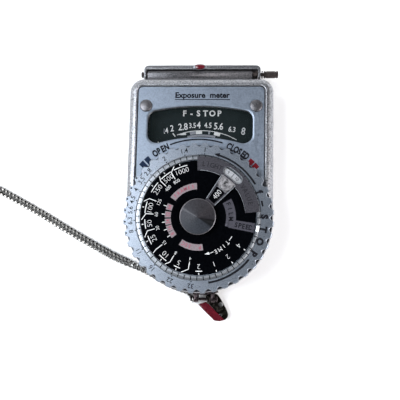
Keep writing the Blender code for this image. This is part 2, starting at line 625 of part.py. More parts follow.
def make_chain(steel):
    low, pitch = CHAIN / 2, CHAIN
    half_band = pitch * COIL_TURNS_ACROSS / 2
    inner, outer = COIL_MIDDLE - half_band, COIL_MIDDLE + half_band
    band = ((inner, 0), (outer, 0), (outer, pitch * COIL_LAYERS), (inner, pitch * COIL_LAYERS))
    turned("chain_coil", steel, band, (*COIL_CENTRE, 0), steps=40)
    lead = Vector((-0.889, 0.458))
    centre = Vector(COIL_CENTRE)
    side = Vector((lead.y, -lead.x))
    outermost = outer - low
    touch = centre + side * outermost
    reach = sqrt((outer + low + CLEAR + 0.05) ** 2 - outermost ** 2)
    route = chain_route() + [(*(touch - lead * reach), low)]
    tube("chain_run", steel, smooth_route(route, 5.5), CHAIN)
    leave = centre + Vector((-outermost, 0))
    tail = [(leave.x, leave.y - reach, low + 0.3), (leave.x, leave.y - reach - 3, low),
            (leave.x, leave.y - reach - 6.5, low)]
    tube("chain_tail", steel, smooth_route(tail, 3.0), CHAIN)
    ring_centre = (leave.x, leave.y - reach - 6.5 - CLEAR - 4.0, 0.8)
    section = [(3.2 + 0.75 * cos(pi * i / 3), 0.75 * sin(pi * i / 3)) for i in range(6)]
    turned("chain_far_ring", steel, section, ring_centre, steps=20)
    link = [(1.3 + 0.27 * cos(pi * i / 3), 0.27 * sin(pi * i / 3)) for i in range(6)]
    turned("chain_end_link", steel, link, (-2.0, LUG_PIN[0] - 0.1, LUG_PIN[1] - 0.1), "X", 20)


# ---------------------------------------------------------------- the meter

def main():
    clear_scene()
    paint = finish("casing_paint", (0.60, 0.63, 0.68), 0.32, 0.85)
    plate_metal = finish("face_plate_metal", (0.30, 0.35, 0.42), 0.42, 0.8)
    ring_metal = finish("ring_metal", (0.42, 0.46, 0.52), 0.40, 0.8)
    silver = finish("graduation_silver", (0.72, 0.75, 0.78), 0.35, 0.8)
    steel = finish("nickelled_steel", (0.55, 0.55, 0.56), 0.25, 1.0)
    knob_metal = finish("dark_chrome", (0.10, 0.08, 0.08), 0.25, 1.0)
    neck_paint = finish("neck_paint", (0.16, 0.16, 0.18), 0.35, 0.7)
    nickel = finish("clasp_nickel", (0.22, 0.20, 0.18), 0.3, 1.0)
    chain_metal = finish("chain_nickel", (0.48, 0.47, 0.45), 0.28, 1.0)
    black = finish("disc_black", (0.006, 0.007, 0.008), 0.30, 0.0)
    grey = finish("mask_grey", (0.10, 0.10, 0.12), 0.40, 0.6)
    enamel = finish("red_enamel", (0.16, 0.01, 0.02), 0.2, 0.0)
    glass = finish("clear_glass", (0.85, 0.9, 0.9), 0.05, 0.0)
    brass = finish("brass", (0.55, 0.42, 0.16), 0.3, 1.0)
    iron = finish("magnet_iron", (0.12, 0.12, 0.13), 0.5, 0.9)
    copper = finish("coil_copper", (0.55, 0.22, 0.10), 0.35, 0.9)
    jewel = finish("bearing_jewel", (0.45, 0.02, 0.06), 0.1, 0.0)
    white = finish("needle_white", (0.75, 0.75, 0.72), 0.5, 0.0)
    scale_black = finish("scale_black", (0.006, 0.012, 0.012), 0.4, 0.0)
    cell_grey = finish("selenium_grey", (0.08, 0.08, 0.09), 0.35, 0.4)
    red_wire = finish("wire_red", (0.35, 0.02, 0.02), 0.5, 0.0)
    black_wire = finish("wire_black", (0.01, 0.01, 0.01), 0.5, 0.0)

    make_back_cover(paint, steel)
    make_front_housing(paint)
    make_face(plate_metal, steel, glass)
    make_cell_end(neck_paint, cell_grey, glass, brass)
    make_cell_cover(neck_paint, enamel, knob_metal)
    make_drag_spring(steel)
    make_dial_post(steel, brass)
    make_fstop_ring(ring_metal)
    make_discs(black, grey, silver, steel)
    make_centre_cap(steel)
    make_movement(iron, brass, steel, copper, jewel, white, scale_black)
    make_zero_adjust(steel, brass)
    make_lead_wires(red_wire, black_wire)
    make_lug(steel)
    make_clasp(nickel, enamel, steel)
    make_chain(chain_metal)


main()
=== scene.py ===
"""Looks of the pocket selenium light meter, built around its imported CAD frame.

Lengths in this file are millimetres in the CAD's own frame: +Z out of the face, +Y to the cell end,
origin on the dial's axis in the plane of the back. The mesh helpers turn them into metres.
Angles called clock angles are degrees clockwise from +Y, seen from the face.
"""

from math import acos, atan2, cos, degrees, log2, pi, radians, sin, sqrt
import json

import bmesh
import bpy
from mathutils import Matrix, Vector


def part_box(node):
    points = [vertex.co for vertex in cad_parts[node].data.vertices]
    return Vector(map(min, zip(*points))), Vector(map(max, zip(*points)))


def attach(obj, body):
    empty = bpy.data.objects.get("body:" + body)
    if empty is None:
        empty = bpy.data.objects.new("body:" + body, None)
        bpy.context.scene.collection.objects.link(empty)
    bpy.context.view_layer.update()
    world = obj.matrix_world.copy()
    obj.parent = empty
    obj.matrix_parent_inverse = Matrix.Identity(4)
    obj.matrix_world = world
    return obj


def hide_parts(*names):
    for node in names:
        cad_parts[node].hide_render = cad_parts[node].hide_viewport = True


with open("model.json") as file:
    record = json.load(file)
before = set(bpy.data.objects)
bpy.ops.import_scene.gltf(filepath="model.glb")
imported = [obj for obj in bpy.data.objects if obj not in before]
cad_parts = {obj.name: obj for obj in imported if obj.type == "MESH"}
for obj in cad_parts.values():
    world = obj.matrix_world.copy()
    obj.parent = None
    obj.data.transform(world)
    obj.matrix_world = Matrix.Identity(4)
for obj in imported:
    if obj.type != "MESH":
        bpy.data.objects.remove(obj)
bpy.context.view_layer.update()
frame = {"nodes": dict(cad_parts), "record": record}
FINISH = {}                      # every material by its name

MM = 0.001
PRINT = 0.03                     # how far printed marks stand off their surface

HALF_WIDTH, TOP_Y, CORNER = 24.0, 46.75, 4.6
RING_RADIUS, RING_NOTCHES, NOTCH_DEPTH = 23.95, 40, 1.2
RING_TOP = 17.4
TICK_TOP, BEND, SLOPE = 17.05, 19.2, 0.24        # the tick ring falls off outside its bend
DISC_TOP = 16.9
MASK_TOP = 17.6
POINTER, TAB = 39.0, 100.5       # clock angles of the mask's pointer and of the disc's setting tab
PLATE_TOP = 13.8
SCALE_TOP = 8.6
SCALE_CENTRE = Vector((0.2, 6.55, 0))            # of the printed arcs, by the needle's pivot
STOP = 18.0                      # degrees of dial to one f-stop
FASTEST = -20.5                  # clock angle of 1/1000 s on the disc
COVER_HALF, COVER_INNER, COVER_FRONT = 19.75, 50.7, 52.15
HINGE = (0, 49.1, 9.7)           # a point of the cover's axis, which runs along X
PIN = (0, -26.4, 4.3)            # a point of the lug pin's axis, which runs along X
CHAIN = 2.5
COIL_CENTRE = (-95.2, 3.8)
LOW_SKY, HIGH_SKY = (1.7, 1.72, 1.74), (0.04, 0.042, 0.048)


# ---- mesh helpers

def clock(radius, angle):
    """The point at a radius and a clock angle."""
    return Vector((radius * sin(radians(angle)), radius * cos(radians(angle)), 0))


def arc(cx, cy, radius, start, end, steps):
    angles = [radians(start + (end - start) * i / steps) for i in range(steps + 1)]
    return [(cx + radius * cos(a), cy + radius * sin(a)) for a in angles]


def to_object(name, bm, material=None, body=None):
    """Welds bm, turns it outward and makes it a piece of a named material that rides on a body.

    Without a material and a body it is a tool for a Boolean.
    """
    bmesh.ops.remove_doubles(bm, verts=bm.verts, dist=1e-5)
    bmesh.ops.recalc_face_normals(bm, faces=bm.faces)
    bmesh.ops.scale(bm, vec=(MM, MM, MM), verts=bm.verts)
    mesh = bpy.data.meshes.new(name)
    bm.to_mesh(mesh)
    bm.free()
    if material:
        mesh.materials.append(FINISH[material])
    made = bpy.data.objects.new(name, mesh)
    shade(made, 35)
    bpy.context.scene.collection.objects.link(made)
    if body:
        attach(made, body)
    return made


def add_loft(bm, rings, closed=False):
    """A skin over rings with equal point counts, capped at its ends or closed into a loop."""
    rows = [[bm.verts.new(point) for point in ring] for ring in rings]
    pairs = list(zip(rows, rows[1:])) + ([(rows[-1], rows[0])] if closed else [])
    for low, high in pairs:
        for i in range(len(low)):
            j = (i + 1) % len(low)
            bm.faces.new((low[i], low[j], high[j], high[i]))
    if not closed:
        bm.faces.new(rows[0][::-1])
        bm.faces.new(rows[-1])


def add_prism(bm, outline, low, high):
    add_loft(bm, [[(p[0], p[1], z) for p in outline] for z in (low, high)])


def turned(name, profile, material=None, body=None, centre=(0, 0, 0), axis="Z", steps=48):
    """A closed profile of (radius, height) turned about an axis through centre."""
    bm = bmesh.new()

    def place(radius, height, angle):
        across, along = radius * cos(angle), radius * sin(angle)
        point = {"Z": (across, along, height), "X": (height, across, along)}[axis]
        return Vector(point) + Vector(centre)

    rows = []
    for radius, height in profile:
        if radius < 1e-6:
            rows.append([bm.verts.new(place(0, height, 0))] * steps)
        else:
            rows.append([bm.verts.new(place(radius, height, 2 * pi * i / steps)) for i in range(steps)])
    for low, high in zip(rows, rows[1:] + rows[:1]):
        for i in range(steps):
            j = (i + 1) % steps
            corners = list(dict.fromkeys((low[i], low[j], high[j], high[i])))
            if len(corners) > 2:
                bm.faces.new(corners)
    return to_object(name, bm, material, body)


def lofted(name, rings, material=None, body=None, closed=False):
    bm = bmesh.new()
    add_loft(bm, rings, closed)
    return to_object(name, bm, material, body)


def prism(name, outline, low, high, material=None, body=None):
    bm = bmesh.new()
    add_prism(bm, outline, low, high)
    return to_object(name, bm, material, body)


def round_tool(name, centre, radius, low, high, axis="Z", steps=48):
    profile = ((0, low), (radius, low), (radius, high), (0, high))
    return turned(name, profile, centre=centre, axis=axis, steps=steps)


def stands_for(piece, slot, *nodes):
    """Hides these CAD nodes, which piece takes the place of. piece and slot are not used."""
    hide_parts(*nodes)


def box_outline(low, high):
    return [(low[0], low[1]), (high[0], low[1]), (high[0], high[1]), (low[0], high[1])]


def combine(target, operation, others):
    """Applies a Boolean with each of the others to target now, and removes the others."""
    for other in others:
        made = target.modifiers.new("combine", "BOOLEAN")
        made.object = other
        made.operation = operation
        made.solver = "EXACT"
    apply_modifiers(target)
    for other in others:
        bpy.data.objects.remove(other, do_unlink=True)


def cut(target, *tools):
    combine(target, "DIFFERENCE", tools)


def join(target, *others):
    combine(target, "UNION", others)


def apply_modifiers(target):
    graph = bpy.context.evaluated_depsgraph_get()
    graph.update()
    mesh = bpy.data.meshes.new_from_object(target.evaluated_get(graph))
    target.modifiers.clear()
    target.data = mesh


def bevel(target, width, segments):
    made = target.modifiers.new("bevel", "BEVEL")
    made.width = width * MM
    made.segments = segments
    made.limit_method = "ANGLE"
    made.angle_limit = radians(50)
    apply_modifiers(target)
    shade(target, 40)


def shade(target, sharp):
    """Smooth shading, with edges sharper than this many degrees left crisp."""
    target.data.shade_smooth()
    target.data.set_sharp_from_angle(angle=radians(sharp))


# ---- camera, floor and light

def set_camera():
    """Above the meter, a little towards its lower right, looking at the middle of the face."""
    data = bpy.data.cameras.new("camera")
    data.lens = 49.27
    data.sensor_width = 36.0
    camera = bpy.data.objects.new("camera", data)
    camera.location = Vector((11.41, -14.40, 189.39)) * MM
    camera.rotation_euler = (radians(6.618), radians(3.487), radians(1.085))
    data.clip_start = 0.01
    bpy.context.scene.collection.objects.link(camera)
    bpy.context.scene.camera = camera


def soft_light(name, place, size, power, colour):
    data = bpy.data.lights.new(name, "AREA")
    data.shape = "RECTANGLE"
    data.size, data.size_y = size[0] * MM, size[1] * MM
    data.energy = power
    data.color = colour
    lamp = bpy.data.objects.new(name, data)
    lamp.location = Vector(place) * MM
    toward = (Vector((0, 10, 0)) - Vector(place)).normalized()
    lamp.rotation_euler = toward.to_track_quat("-Z", "Y").to_euler()
    bpy.context.scene.collection.objects.link(lamp)


def make_studio():
    """A white sheet of paper under a soft light at each side and behind, in a room pale low down."""
    bm = bmesh.new()
    bmesh.ops.create_grid(bm, x_segments=1, y_segments=1, size=1500)
    bmesh.ops.translate(bm, vec=(0, 0, -0.05), verts=bm.verts)
    to_object("floor", bm, "floor_paper", None)
    world = bpy.data.worlds.new("studio")
    world.use_nodes = True
    nodes, links = world.node_tree.nodes, world.node_tree.links
    where = nodes.new("ShaderNodeTexCoord")
    split = nodes.new("ShaderNodeSeparateXYZ")
    links.new(where.outputs["Generated"], split.inputs["Vector"])
    height = ramp(nodes, ((0.2, LOW_SKY), (0.65, HIGH_SKY)))
    links.new(split.outputs["Z"], height.inputs["Fac"])
    links.new(height.outputs["Color"], nodes["Background"].inputs["Color"])
    bpy.context.scene.world = world
    bpy.context.scene.view_settings.view_transform = "Standard"
    soft_light("key", (-250, 30, 380), (260, 260), 2.45, (0.90, 0.95, 1.0))
    soft_light("top", (-40, 380, 300), (260, 140), 0.25, (0.94, 0.97, 1.0))
    soft_light("fill", (330, -120, 300), (300, 240), 1.85, (1.0, 0.97, 0.97))


# ---- materials

def ramp(nodes, stops):
    """A colour ramp node through (position, colour) stops in rising order."""
    made = nodes.new("ShaderNodeValToRGB")
    elements = made.color_ramp.elements
    elements[0].position, elements[-1].position = stops[0][0], stops[-1][0]
    for position, colour in stops[1:-1]:
        elements.new(position).color = (*colour, 1.0)
    elements[0].color = (*stops[0][1], 1.0)
    elements[-1].color = (*stops[-1][1], 1.0)
    return made


def principled(name):
    """A new material under its name in FINISH, with its nodes, links and shader."""
    made = FINISH[name] = bpy.data.materials.new(name)
    made.use_nodes = True
    nodes = made.node_tree.nodes
    return nodes, made.node_tree.links, nodes["Principled BSDF"]


def plain(name, colour, roughness):
    _, _, shader = principled(name)
    shader.inputs["Base Color"].default_value = (*colour, 1.0)
    shader.inputs["Roughness"].default_value = roughness


def surface(name, dark, light, roughness, metallic=0.0, grain=0.3, spread=0.08, bump=0.0,
            bump_grain=0.15, depth=0.02, stretch=(1, 1, 1), specular=0.5, **sockets):
    """A Principled material whose colour and roughness wander between two values over a fine grain.

    grain and bump_grain are the size of the mottling and depth the height of the relief in
    millimetres, spread the swing of roughness.
    """
    nodes, links, shader = principled(name)
    shader.inputs["Metallic"].default_value = metallic
    shader.inputs["Specular IOR Level"].default_value = specular
    for socket, value in sockets.items():
        shader.inputs[socket.replace("_", " ")].default_value = value
    where = nodes.new("ShaderNodeTexCoord")
    mapping = nodes.new("ShaderNodeMapping")
    mapping.inputs["Scale"].default_value = stretch
    links.new(where.outputs["Object"], mapping.inputs["Vector"])

    def noise(size, detail):
        made = nodes.new("ShaderNodeTexNoise")
        made.inputs["Scale"].default_value = 1 / (size * MM)
        made.inputs["Detail"].default_value = detail
        links.new(mapping.outputs["Vector"], made.inputs["Vector"])
        return made

    low, high = 0.3, 0.7                         # the share of the noise that the swing covers
    mottle = noise(grain, 5.0)
    tones = ramp(nodes, ((low, dark), (high, light)))
    links.new(mottle.outputs["Fac"], tones.inputs["Fac"])
    links.new(tones.outputs["Color"], shader.inputs["Base Color"])
    rough = nodes.new("ShaderNodeMapRange")
    for socket, value in (("From Min", low), ("From Max", high), ("To Min", roughness - spread),
                          ("To Max", roughness + spread)):
        rough.inputs[socket].default_value = value
    links.new(mottle.outputs["Fac"], rough.inputs["Value"])
    links.new(rough.outputs["Result"], shader.inputs["Roughness"])
    if bump:
        fine = noise(bump_grain, 3.0)
        relief = nodes.new("ShaderNodeBump")
        relief.inputs["Strength"].default_value = bump
        relief.inputs["Distance"].default_value = depth * MM
        links.new(fine.outputs["Fac"], relief.inputs["Height"])
        links.new(relief.outputs["Normal"], shader.inputs["Normal"])
    return nodes, links, shader


def spun_cone(name):
    """Turned metal with painted reflections: its tone changes in sectors round the Z axis, under a fine
    grain.
    """
    nodes, links, shader = surface(name, (0.45, 0.45, 0.45), (0.75, 0.75, 0.75), 0.45, 0.3, grain=0.5,
                                   bump=0.15, specular=0.1)
    grain = shader.inputs["Base Color"].links[0].from_socket
    where = nodes.new("ShaderNodeTexCoord")
    mapping = nodes.new("ShaderNodeMapping")
    mapping.inputs["Location"].default_value = (-0.3 * MM, 0.5 * MM, 0)
    links.new(where.outputs["Object"], mapping.inputs["Vector"])
    wheel = nodes.new("ShaderNodeTexGradient")
    wheel.gradient_type = "RADIAL"
    links.new(mapping.outputs["Vector"], wheel.inputs["Vector"])
    # Painted light: the dark stops near 0.42 to 0.49 are painted shade and the narrow bright stop near
    # 0.915 a painted glint, in place of the spun grooves' reflections.
    wedges = ((0.0, (0.048, 0.050, 0.058)), (0.20, (0.050, 0.056, 0.068)), (0.38, (0.045, 0.051, 0.064)),
              (0.42, (0.006, 0.007, 0.009)), (0.45, (0.016, 0.017, 0.020)), (0.478, (0.004, 0.004, 0.005)),
              (0.49, (0.028, 0.026, 0.032)), (0.62, (0.052, 0.048, 0.054)), (0.90, (0.048, 0.048, 0.056)),
              (0.915, (0.110, 0.112, 0.122)), (0.935, (0.050, 0.051, 0.060)), (1.0, (0.048, 0.050, 0.058)))
    tones = ramp(nodes, wedges)
    links.new(wheel.outputs["Color"], tones.inputs["Fac"])
    blend = nodes.new("ShaderNodeMix")
    blend.data_type = "RGBA"
    blend.blend_type = "MULTIPLY"
    blend.inputs["Factor"].default_value = 1.0
    links.new(tones.outputs["Color"], blend.inputs[6])
    links.new(grain, blend.inputs[7])
    links.new(blend.outputs[2], shader.inputs["Base Color"])


def make_materials():
    """Most materials are named after the slot that they fill."""
    plain("floor_paper", (0.97, 0.97, 0.97), 0.9)
    spun_cone("spun_cone")
    hammered = {"grain": 0.45, "bump": 1.0, "bump_grain": 0.5, "depth": 0.12}
    surface("casing_paint", (0.12, 0.122, 0.132), (0.44, 0.445, 0.47), 0.34, 0.95, **hammered)
    surface("neck_paint", (0.046, 0.046, 0.050), (0.145, 0.142, 0.153), 0.38, 0.85, **hammered)
    surface("cover_paint", (0.08, 0.08, 0.086), (0.26, 0.26, 0.275), 0.36, 0.9, **hammered)
    surface("face_plate_metal", (0.17, 0.20, 0.25), (0.24, 0.28, 0.34), 0.45, 0.88, grain=0.5, bump=0.3,
            bump_grain=0.12)
    surface("ring_metal", (0.18, 0.205, 0.245), (0.33, 0.365, 0.42), 0.34, 0.95, bump=0.6, bump_grain=0.2)
    surface("graduation_silver", (0.23, 0.245, 0.265), (0.38, 0.40, 0.43), 0.36, 0.95, bump=0.3)
    surface("nickelled_steel", (0.24, 0.24, 0.26), (0.36, 0.36, 0.38), 0.24, 1.0, grain=0.6, bump=0.15)
    surface("dark_chrome", (0.048, 0.040, 0.039), (0.095, 0.080, 0.076), 0.38, 1.0, grain=0.6, bump=0.1)
    surface("clasp_nickel", (0.012, 0.010, 0.008), (0.075, 0.066, 0.055), 0.22, 1.0, grain=0.8, bump=0.4,
            bump_grain=0.3)
    surface("chain_nickel", (0.10, 0.10, 0.097), (0.36, 0.36, 0.35), 0.20, 1.0, grain=0.7, bump=0.2)
    surface("disc_black", (0.0005, 0.0006, 0.001), (0.0015, 0.0018, 0.0026), 0.7, grain=0.6, bump=0.15,
            specular=0.0)
    surface("mask_grey", (0.030, 0.029, 0.035), (0.064, 0.062, 0.073), 0.42, 0.5, grain=0.4, bump=0.4,
            specular=0.15)
    surface("red_enamel", (0.050, 0.003, 0.007), (0.11, 0.007, 0.014), 0.16, grain=0.8, Coat_Weight=0.6,
            Coat_Roughness=0.08)
    surface("clear_glass", (0.02, 0.03, 0.03), (0.03, 0.04, 0.04), 0.06, spread=0.02, grain=3.0, Alpha=0.10)
    surface("brass", (0.42, 0.31, 0.11), (0.62, 0.48, 0.20), 0.28, 1.0, grain=0.6)
    surface("magnet_iron", (0.09, 0.09, 0.10), (0.17, 0.17, 0.18), 0.5, 0.9, grain=0.4, bump=0.4)
    surface("coil_copper", (0.42, 0.15, 0.06), (0.62, 0.27, 0.12), 0.35, 0.9, grain=0.2, stretch=(1, 1, 6))
    surface("bearing_jewel", (0.35, 0.01, 0.04), (0.50, 0.03, 0.08), 0.1, grain=0.5)
    surface("needle_white", (0.70, 0.70, 0.67), (0.80, 0.80, 0.77), 0.5, grain=0.4)
    surface("scale_black", (0.002, 0.005, 0.006), (0.0045, 0.009, 0.011), 0.6, grain=1.5, specular=0.1)
    surface("selenium_grey", (0.05, 0.05, 0.055), (0.11, 0.11, 0.12), 0.35, 0.4, grain=0.5, bump=0.3)
    surface("wire_red", (0.30, 0.015, 0.015), (0.40, 0.03, 0.03), 0.5, grain=0.5)
    surface("wire_black", (0.008, 0.008, 0.008), (0.016, 0.016, 0.016), 0.5, grain=0.5)
    surface("print_black", (0.002, 0.0022, 0.004), (0.006, 0.0065, 0.010), 0.6, specular=0.1)
    surface("print_white", (0.50, 0.51, 0.52), (0.72, 0.73, 0.74), 0.5)
    surface("print_blue", (0.004, 0.010, 0.03), (0.010, 0.021, 0.052), 0.6, specular=0.1)
    surface("print_red", (0.07, 0.003, 0.007), (0.14, 0.006, 0.013), 0.5, specular=0.1)
    surface("print_pink", (0.12, 0.098, 0.11), (0.21, 0.17, 0.185), 0.5, grain=0.25)
    # A darker copy of ring_metal for the ring's steep walls and the skirt under it: painted shade.
    surface("ring_wall_painted_shade", (0.035, 0.036, 0.042), (0.10, 0.105, 0.12), 0.36, 0.95, bump=0.5, bump_grain=0.25)
    surface("lug_metal", (0.045, 0.034, 0.036), (0.10, 0.080, 0.084), 0.3, 1.0, grain=0.6, bump=0.3)
    surface("tab_grey", (0.038, 0.037, 0.047), (0.062, 0.060, 0.075), 0.5, 0.3, grain=0.35, bump=0.3,
            specular=0.15)
    surface("fleck", (0.002, 0.002, 0.003), (0.34, 0.33, 0.345), 0.4, 0.4, grain=0.75, bump=0.6)
    surface("rivet_metal", (0.09, 0.088, 0.095), (0.16, 0.155, 0.165), 0.40, 0.95, grain=0.5, bump=0.3)
    # Near white of the setting tab's bead: a painted highlight.
    surface("bead_painted_highlight", (0.72, 0.74, 0.76), (0.85, 0.86, 0.88), 0.3, 0.3, grain=0.4)
    surface("mask_ink", (0.006, 0.006, 0.008), (0.020, 0.019, 0.024), 0.6, grain=0.2, specular=0.1)
    surface("print_crimson", (0.20, 0.02, 0.05), (0.30, 0.05, 0.09), 0.5)
    surface("print_bright", (0.30, 0.31, 0.33), (0.44, 0.45, 0.47), 0.4, 0.3)
    surface("print_dim", (0.16, 0.17, 0.20), (0.24, 0.25, 0.29), 0.5)


# ---- chain

def catmull(points, steps):
    """Points along a Catmull-Rom curve through the given ones, steps to a span."""
    route = [2 * Vector(points[0]) - Vector(points[1])] + [Vector(p) for p in points]
    route.append(2 * route[-1] - route[-2])
    fine = []
    for a, b, c, d in zip(route, route[1:], route[2:], route[3:]):
        for i in range(steps):
            t = i / steps
            bend = 2 * a - 5 * b + 4 * c - d
            fine.append(0.5 * (2 * b + (c - a) * t + bend * t * t + (3 * b - 3 * c + d - a) * t ** 3))
    return fine + [route[-2]]


def chain_path():
    """The chain's middle line: from the lug round the case, over the surface, round the coil and out."""
    low = CHAIN / 2
    route = [(-2.0, -26.4, 2.75), (-2.5, -25.9, 1.7), (-4.6, -24.5, low), (-7.4, -23.68, low),
             (-10.6, -22.42, low), (-14.0, -20.6, low), (-17.8, -18.3, low), (-22.5, -15.75, low),
             (-31.2, -12.05, low), (-45.8, -4.2, low), (-56.8, 2.1, low), (-71.7, 9.95, low),
             (-78.8, 13.65, low)]
    turns, start, outer, inner = 5.326, 62.7, 16.25, 11.25
    coil = []
    for i in range(int(turns * 30) + 1):
        turn = turns * i / int(turns * 30)
        radius = outer - CHAIN * turn if turn < 2 else inner + CHAIN * min(max(turn - 2.65, 0), 2)
        rise = min(max((turn - 2) / 0.65, 0), 1)
        a = radians(start + 360 * turn)
        coil.append((COIL_CENTRE[0] + radius * cos(a), COIL_CENTRE[1] + radius * sin(a),
                     low + CHAIN * rise * rise * (3 - 2 * rise)))
    end_x, end_y = COIL_CENTRE[0] - outer, COIL_CENTRE[1]
    tail = [(end_x, end_y - 3.5, 3.4), (end_x, end_y - 7, 2.1), (end_x, end_y - 10.04, low + 0.1),
            (end_x, end_y - 13.04, low), (end_x, end_y - 16.54, low)]
    return catmull(route + coil + tail, 8)


def chain_roll(place):
    """On edge against the case and in the coil, flat where the chain runs free."""
    from_case = place.xy.length - 25.2
    from_coil = (place.xy - Vector(COIL_CENTRE)).length - 17.5
    return 90 * (1 - min(max(min(from_case / 4, from_coil / 8), 0), 1))


def evenly(points, spacing):
    """(place, direction) at even spacing along a polyline."""
    found, left = [], 0.0
    for a, b in zip(points, points[1:]):
        step = (b - a).length
        while left <= step and step > 1e-9:
            found.append((a.lerp(b, left / step), (b - a).normalized()))
            left += spacing
        left -= step
    return found


def add_link(bm, place, forward, roll, size, around=16, sides=6):
    """One curb link: an oval of wire whose ends are twisted either way about its length.

    roll is 0 where the chain lies flat and 90 where it stands on edge.
    """
    length, width, wire, twist = size
    flat = Vector((0, 0, 1)).cross(forward).normalized()
    over = forward.cross(flat)
    side = flat * cos(radians(roll)) + over * sin(radians(roll))
    up = forward.cross(side)
    half, reach = (length - wire) / 2, (width - wire) / 2
    middle = []
    for i in range(around):
        t = 2 * pi * i / around
        turn = radians(twist) * cos(t)
        y = reach * sin(t)
        middle.append(place + forward * half * cos(t) + side * y * cos(turn) + up * y * sin(turn))
    rings = []
    for i in range(around):
        along = (middle[(i + 1) % around] - middle[i - 1]).normalized()
        out = (middle[i] - place).normalized()
        out = (out - along * out.dot(along)).normalized()
        over = along.cross(out)
        turns = [2 * pi * k / sides for k in range(sides)]
        rings.append([middle[i] + wire / 2 * (out * cos(t) + over * sin(t)) for t in turns])
    add_loft(bm, rings, closed=True)


def hoop(name, node, middle, half, axis, around, steps):
    """A ring of round wire for a CAD node, half the wire thick to either side of its middle circle."""
    low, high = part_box(node)
    section = arc(middle, 0, half, 0, 360 - 360 / around, around - 1)
    made = turned(name, section, "chain_nickel", "meter", (low + high) / 2 / MM, axis, steps)
    stands_for(made, "chain_nickel", node)
    return made


def make_chain():
    """Curb links of round wire from the lug to the far ring, less twisted where they press on the case."""
    path = chain_path()
    pitch, long, wire, twist = 1.5, 2.85, 0.72, 60
    bm = bmesh.new()
    for place, forward in evenly(path, pitch):
        roll = chain_roll(place)
        flat = 1 - roll / 90
        untwist = 40 * (1 - min(max(place.xy.length - 25.0, 0), 1))
        size = (long, CHAIN + 0.5 * flat, wire, twist - untwist)
        add_link(bm, place - Vector((0, 0, 0.3 * flat ** 2)), forward, roll, size)
    chain = to_object("chain", bm, "chain_nickel", "meter")
    stands_for(chain, "chain_nickel", "chain_run", "chain_coil", "chain_tail")
    far_ring = hoop("far_ring", "chain_far_ring", 3.2, 0.72, "Z", 14, 48)
    hoop("end_link", "chain_end_link", 1.05, 0.24, "X", 12, 32)


# ---- outlines

def body_outline(inset):
    """The meter's plan: a half circle about the dial's axis below, a rounded rectangle above."""
    half, top, corner = HALF_WIDTH - inset, TOP_Y - inset, max(CORNER - inset, 0.8)
    return (arc(0, 0, half, 180, 360, 72) + arc(half - corner, top - corner, corner, 0, 90, 12)
            + arc(corner - half, top - corner, corner, 90, 180, 12))


def window_outline(grow):
    """The scale window: an arch between two arcs on the centre line, with rounded corners."""
    half, corner = 17.4 + grow, 3.2
    top_y, top_r, low_y, low_r = -37.1, 74.3 + grow, -22.8, 49.3 - grow
    side = half - corner
    high = top_y + sqrt((top_r - corner) ** 2 - side ** 2)
    low = low_y + sqrt((low_r + corner) ** 2 - side ** 2)
    top_turn = degrees(acos(side / (top_r - corner)))
    low_turn = degrees(acos(side / (low_r + corner)))
    right = arc(side, low, corner, low_turn - 180, 0, 12) + arc(side, high, corner, 0, top_turn, 12)
    over = arc(0, top_y, top_r, top_turn, 180 - top_turn, 30)[1:-1]
    left = [(-x, y) for x, y in right[::-1]]
    under = arc(0, low_y, low_r, 180 - low_turn, low_turn, 30)[1:-1]
    return [(x - 0.2, y) for x, y in right + over + left + under]


def ring_outline(inset):
    """The f-stop ring's edge: round bites between crests, one bite at the top."""
    step = 360 / RING_NOTCHES
    half_notch = degrees(2 * atan2(NOTCH_DEPTH / 2, RING_RADIUS))
    points = []
    for k in range(RING_NOTCHES):
        crest = 90 - (k + 0.5) * step
        for share in (1, 0.5, 0, -0.5, -1):
            points.append((RING_RADIUS - inset, crest + share * (step / 2 - half_notch)))
        for i in range(1, 8):
            turn = -step / 2 + half_notch - 2 * half_notch * i / 8
            points.append((RING_RADIUS - inset * 0.8 - NOTCH_DEPTH * sin(pi * i / 8) ** 0.8, crest + turn))
    return [(r * cos(radians(a)), r * sin(radians(a))) for r, a in points]


def sector(inner, outer, start, end, steps=None):
    """A band between two radii and two clock angles."""
    steps = steps or max(2, int(abs(end - start) / 2))
    turns = [start + (end - start) * i / steps for i in range(steps + 1)]
    return [clock(outer, t) for t in turns] + [clock(inner, t) for t in turns[::-1]]


def strip(start, end, half_start, half_end=None):
    """A straight strip between two points, as an outline, tapering between two half widths."""
    half_end = half_start if half_end is None else half_end
    a, b = Vector(start[:2]), Vector(end[:2])
    side = Vector((a.y - b.y, b.x - a.x)).normalized()
    return [a - side * half_start, b - side * half_end, b + side * half_end, a + side * half_start]


def radial(start, end, angle, half_start, half_end=None):
    """A straight strip outward along a clock angle, between two radii."""
    return strip(clock(start, angle), clock(end, angle), half_start, half_end)


def levelled(outline, levels):
    """Rings of outline(inset) at each (height, inset)."""
    return [[(x, y, z) for x, y in outline(inset)] for z, inset in levels]


# ---- casing

def make_housing():
    """The painted casing: a full outer round and a small inner one beside the face plate."""
    levels = [(11.2, 1.4), (2.5, 1.4), (2.5, 0.15), (2.65, 0.0), (11.6, 0.0)]
    levels += arc(11.6, 2.4, 2.4, -80, 0, 8)
    levels += [(13.6 + 0.4 * cos(radians(t)), 2.45 + 0.35 * sin(radians(t))) for t in range(15, 91, 15)]
    levels.append((12.8, 2.8))
    housing = lofted("housing", levelled(body_outline, levels), "casing_paint", "meter")
    cut(housing,
        prism("seat", window_outline(1.3), 11.8, 13.5),
        prism("opening", window_outline(0.2), 10, 12.4),
        round_tool("post_hole", (0, 0, 0), 3.3, 10, 14),
        prism("neck_hole", box_outline((-18.9, 44.8), (18.9, 48)), 0, 11.2))
    stands_for(housing, "casing_paint", "front_housing")


